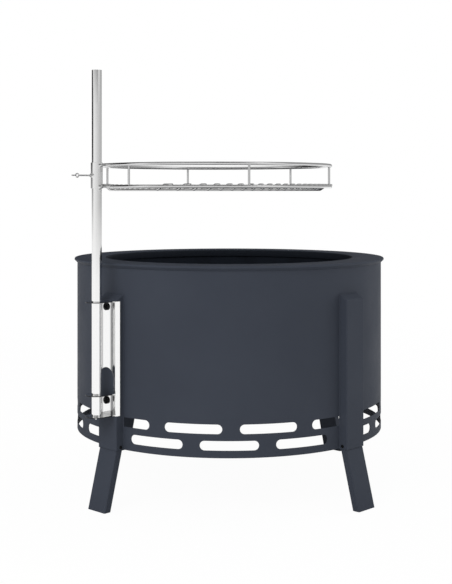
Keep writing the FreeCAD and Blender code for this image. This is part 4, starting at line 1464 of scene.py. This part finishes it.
@dataclass(frozen=True)
class Surround:
    """A round screen that only shows in reflections.

    It is white below, grey at eye level, darker grey above and white at the top. The greys are listed
    by direction, in degrees to the right of the front. The fades are sines of the height at which one
    band gives way to the next. A dark flag stands at the left and behind.
    """

    radius: float = 9.0
    columns: int = 96
    rows: int = 48
    level_fade: Point = (-0.090, 0.000)
    upper_fade: Point = (0.105, 0.175)
    top_fade: Point = (0.87, 0.92)
    flag_fade: Point = (-0.035, 0.050)
    level_greys: tuple[Point, ...] = (
        (-180.0, 0.60), (-90.0, 0.84), (-50.0, 0.85), (0.0, 0.71),
        (30.0, 0.62), (80.0, 0.50), (150.0, 0.43), (180.0, 0.43),
    )
    flag_greys: tuple[Point, ...] = (
        (-180.0, 0.05), (-84.0, 0.05), (-78.0, 1.0), (172.0, 1.0), (180.0, 0.05),
    )
    upper_greys: tuple[Point, ...] = (
        (-180.0, 0.04), (-97.0, 0.04), (-93.0, 0.90), (-74.0, 0.90), (-66.0, 0.27), (-42.0, 0.25),
        (-27.0, 0.17), (-6.0, 0.20), (0.0, 0.05), (10.0, 0.05), (27.0, 0.13), (38.0, 0.30),
        (46.0, 0.90), (68.0, 0.90), (76.0, 0.40), (150.0, 0.38), (180.0, 0.04),
    )

    def ramp(self, nodes: NodeTree, turn: Socket, greys: tuple[Point, ...]) -> Socket:
        """The greys of one band.

        Args:
            nodes: The screen's node tree.
            turn: The direction, from 0 at the back, by way of the left, to 1 at the back again.
            greys: The band's directions and greys.

        Returns:
            The colour's socket.
        """
        node = nodes.feed(nodes.add("ValToRGB"), Fac=turn)
        stops = node.color_ramp.elements
        stops.remove(stops[1])
        stops[0].position = 0.0
        for i, (direction, grey) in enumerate(greys):
            stop = stops[0] if i == 0 else stops.new(0.5 + direction / 360)
            stop.color = (grey, grey, grey, 1.0)
        return node.outputs["Color"]

    def material(self) -> bpy.types.Material:
        """The screen's own glow.

        Returns:
            The new material.
        """
        material = new_material("reflected_screen")
        nodes = NodeTree(material.node_tree)
        place = nodes.place()
        turned = nodes.feed(nodes.add("Mapping"), Vector=place, Rotation=(0.0, 0.0, math.pi / 2))
        turn = nodes.wire("TexGradient", turned.outputs[0], gradient_type="RADIAL").outputs["Fac"]
        _, _, height = nodes.parts(place)
        rise = nodes.sum("DIVIDE", height, self.radius)
        bands = (
            (self.level_fade, self.ramp(nodes, turn, self.level_greys), Blend.MIX),
            (self.flag_fade, self.ramp(nodes, turn, self.flag_greys), Blend.MULTIPLY),
            (self.upper_fade, self.ramp(nodes, turn, self.upper_greys), Blend.MIX),
            (self.top_fade, WHITE, Blend.MIX),
        )
        shade = WHITE
        for fade, colour, blend in bands:
            shade = nodes.mix_colours(nodes.spread(rise, fade), shade, colour, blend)
        nodes.show(nodes.feed(nodes.add("Emission"), Color=shade, Strength=1.0))
        return material

    def build(self) -> None:
        """Set the screen round the pit."""
        shape = bmesh.new()
        bmesh.ops.create_uvsphere(
            shape, u_segments=self.columns, v_segments=self.rows, radius=self.radius
        )
        screen = place_mesh("reflected_screen", shape)
        screen.data.materials.append(self.material())
        screen.visible_camera = False
        screen.visible_diffuse = False
        screen.visible_shadow = False
        screen.visible_transmission = False


@dataclass
class Studio:
    """White surroundings, a pale floor and soft lamps."""

    ground: float
    ambient: float = 0.62
    floor_radius: float = 3.2
    floor_sides: int = 96
    floor_colour: Colour = (0.93, 0.93, 0.93)
    floor_glow: float = 0.965
    floor_fade: Point = (1.3, 2.9)
    mirrored_shade: float = 0.06
    shade_reach: Point = (0.45, 0.80)
    target: Place = (0.0, 0.0, -0.12)
    lights: tuple[SoftLight, ...] = (
        SoftLight("front_light", (-1.6, -2.7, 2.1), size=(2.6, 1.8), power=68.0),
        SoftLight("right_light", (2.9, 0.9, 0.7), size=(1.6, 1.8), power=34.0),
        SoftLight("left_light", (-2.9, 0.7, 0.6), size=(1.2, 1.8), power=6.0),
    )
    surround: Surround = Surround()

    def seen_directly(self, nodes: NodeTree) -> Socket:
        """A mask of the rays that show the surroundings: to the camera, or by way of metal or glass.

        Args:
            nodes: The world's or the floor's node tree.

        Returns:
            The mask's socket.
        """
        path = nodes.add("LightPath").outputs
        shown = nodes.sum("MAXIMUM", path["Is Camera Ray"], path["Is Glossy Ray"])
        return nodes.sum("MAXIMUM", shown, path["Is Transmission Ray"])

    def build_world(self) -> None:
        """White all round, and a plain even light on the object."""
        world = bpy.data.worlds.new("white_studio")
        world.use_nodes = True
        nodes = NodeTree(world.node_tree)
        strength = nodes.spread(self.seen_directly(nodes), UNIT, (self.ambient, 1.0))
        background = nodes.feed(nodes.add("Background"), Color=WHITE, Strength=strength)
        nodes.show(background, "OutputWorld")
        bpy.context.scene.world = world

    def floor_material(self) -> bpy.types.Material:
        """A pale floor that keeps a shadow and fades into the white round it.

        Metal sees it dark under the pit, where the pit's own shade lies.

        Returns:
            The new material.
        """
        material = new_material("pale_floor")
        nodes = NodeTree(material.node_tree)
        matt = nodes.feed(nodes.add("BsdfDiffuse"), Color=rgba(self.floor_colour))
        reach = nodes.vector("LENGTH", nodes.place()).outputs["Value"]
        under = nodes.spread(reach, self.shade_reach, (1.0, 0.0))
        mirrored = nodes.sum("MULTIPLY", under, nodes.add("LightPath").outputs["Is Glossy Ray"])
        strength = nodes.spread(mirrored, UNIT, (1.0, self.mirrored_shade))
        glow = nodes.feed(nodes.add("Emission"), Color=WHITE, Strength=strength)
        share = nodes.sum("MULTIPLY", self.seen_directly(nodes), self.floor_glow)
        lit = nodes.wire("MixShader", share, matt.outputs[0], glow.outputs[0])
        clear = nodes.add("BsdfTransparent")
        fade = nodes.spread(reach, self.floor_fade)
        nodes.show(nodes.wire("MixShader", fade, lit.outputs[0], clear.outputs[0]))
        return material

    def build_floor(self) -> None:
        """Lay the floor under the feet."""
        shape = bmesh.new()
        bmesh.ops.create_circle(
            shape, cap_ends=True, segments=self.floor_sides, radius=self.floor_radius
        )
        floor = place_mesh("studio_floor", shape)
        floor.location.z = self.ground
        floor.data.materials.append(self.floor_material())

    def build_lights(self) -> None:
        """Hang the soft lamps, facing the pit."""
        for light in self.lights:
            data = bpy.data.lights.new(light.name, "AREA")
            data.shape = "RECTANGLE"
            data.size, data.size_y = light.size
            data.energy = light.power
            lamp = bpy.data.objects.new(light.name, data)
            bpy.context.scene.collection.objects.link(lamp)
            lamp.visible_glossy = False
            lamp.location = light.place
            look = Vector(self.target) - Vector(light.place)
            lamp.rotation_euler = look.to_track_quat("-Z", "Y").to_euler()

    def build(self) -> None:
        """Set up the whole studio."""
        bpy.context.scene.view_settings.view_transform = "Standard"
        self.build_world()
        self.build_floor()
        self.build_lights()
        self.surround.build()


def main() -> None:
    """Build the pieces, the studio and the camera."""
    logging.basicConfig(level=logging.INFO, format="%(message)s")
    ground = CAD_BOX[0][2]
    PhotoCamera(ground).build()
    Studio(ground).build()
    wardrobe = Wardrobe()
    wardrobe.dress_frame()
    for assembly in (OuterShell, RimRing, FireChamber, AshPan, LegSet, CookingGrate):
        assembly(wardrobe).build()


if __name__ == "__main__":
    main()
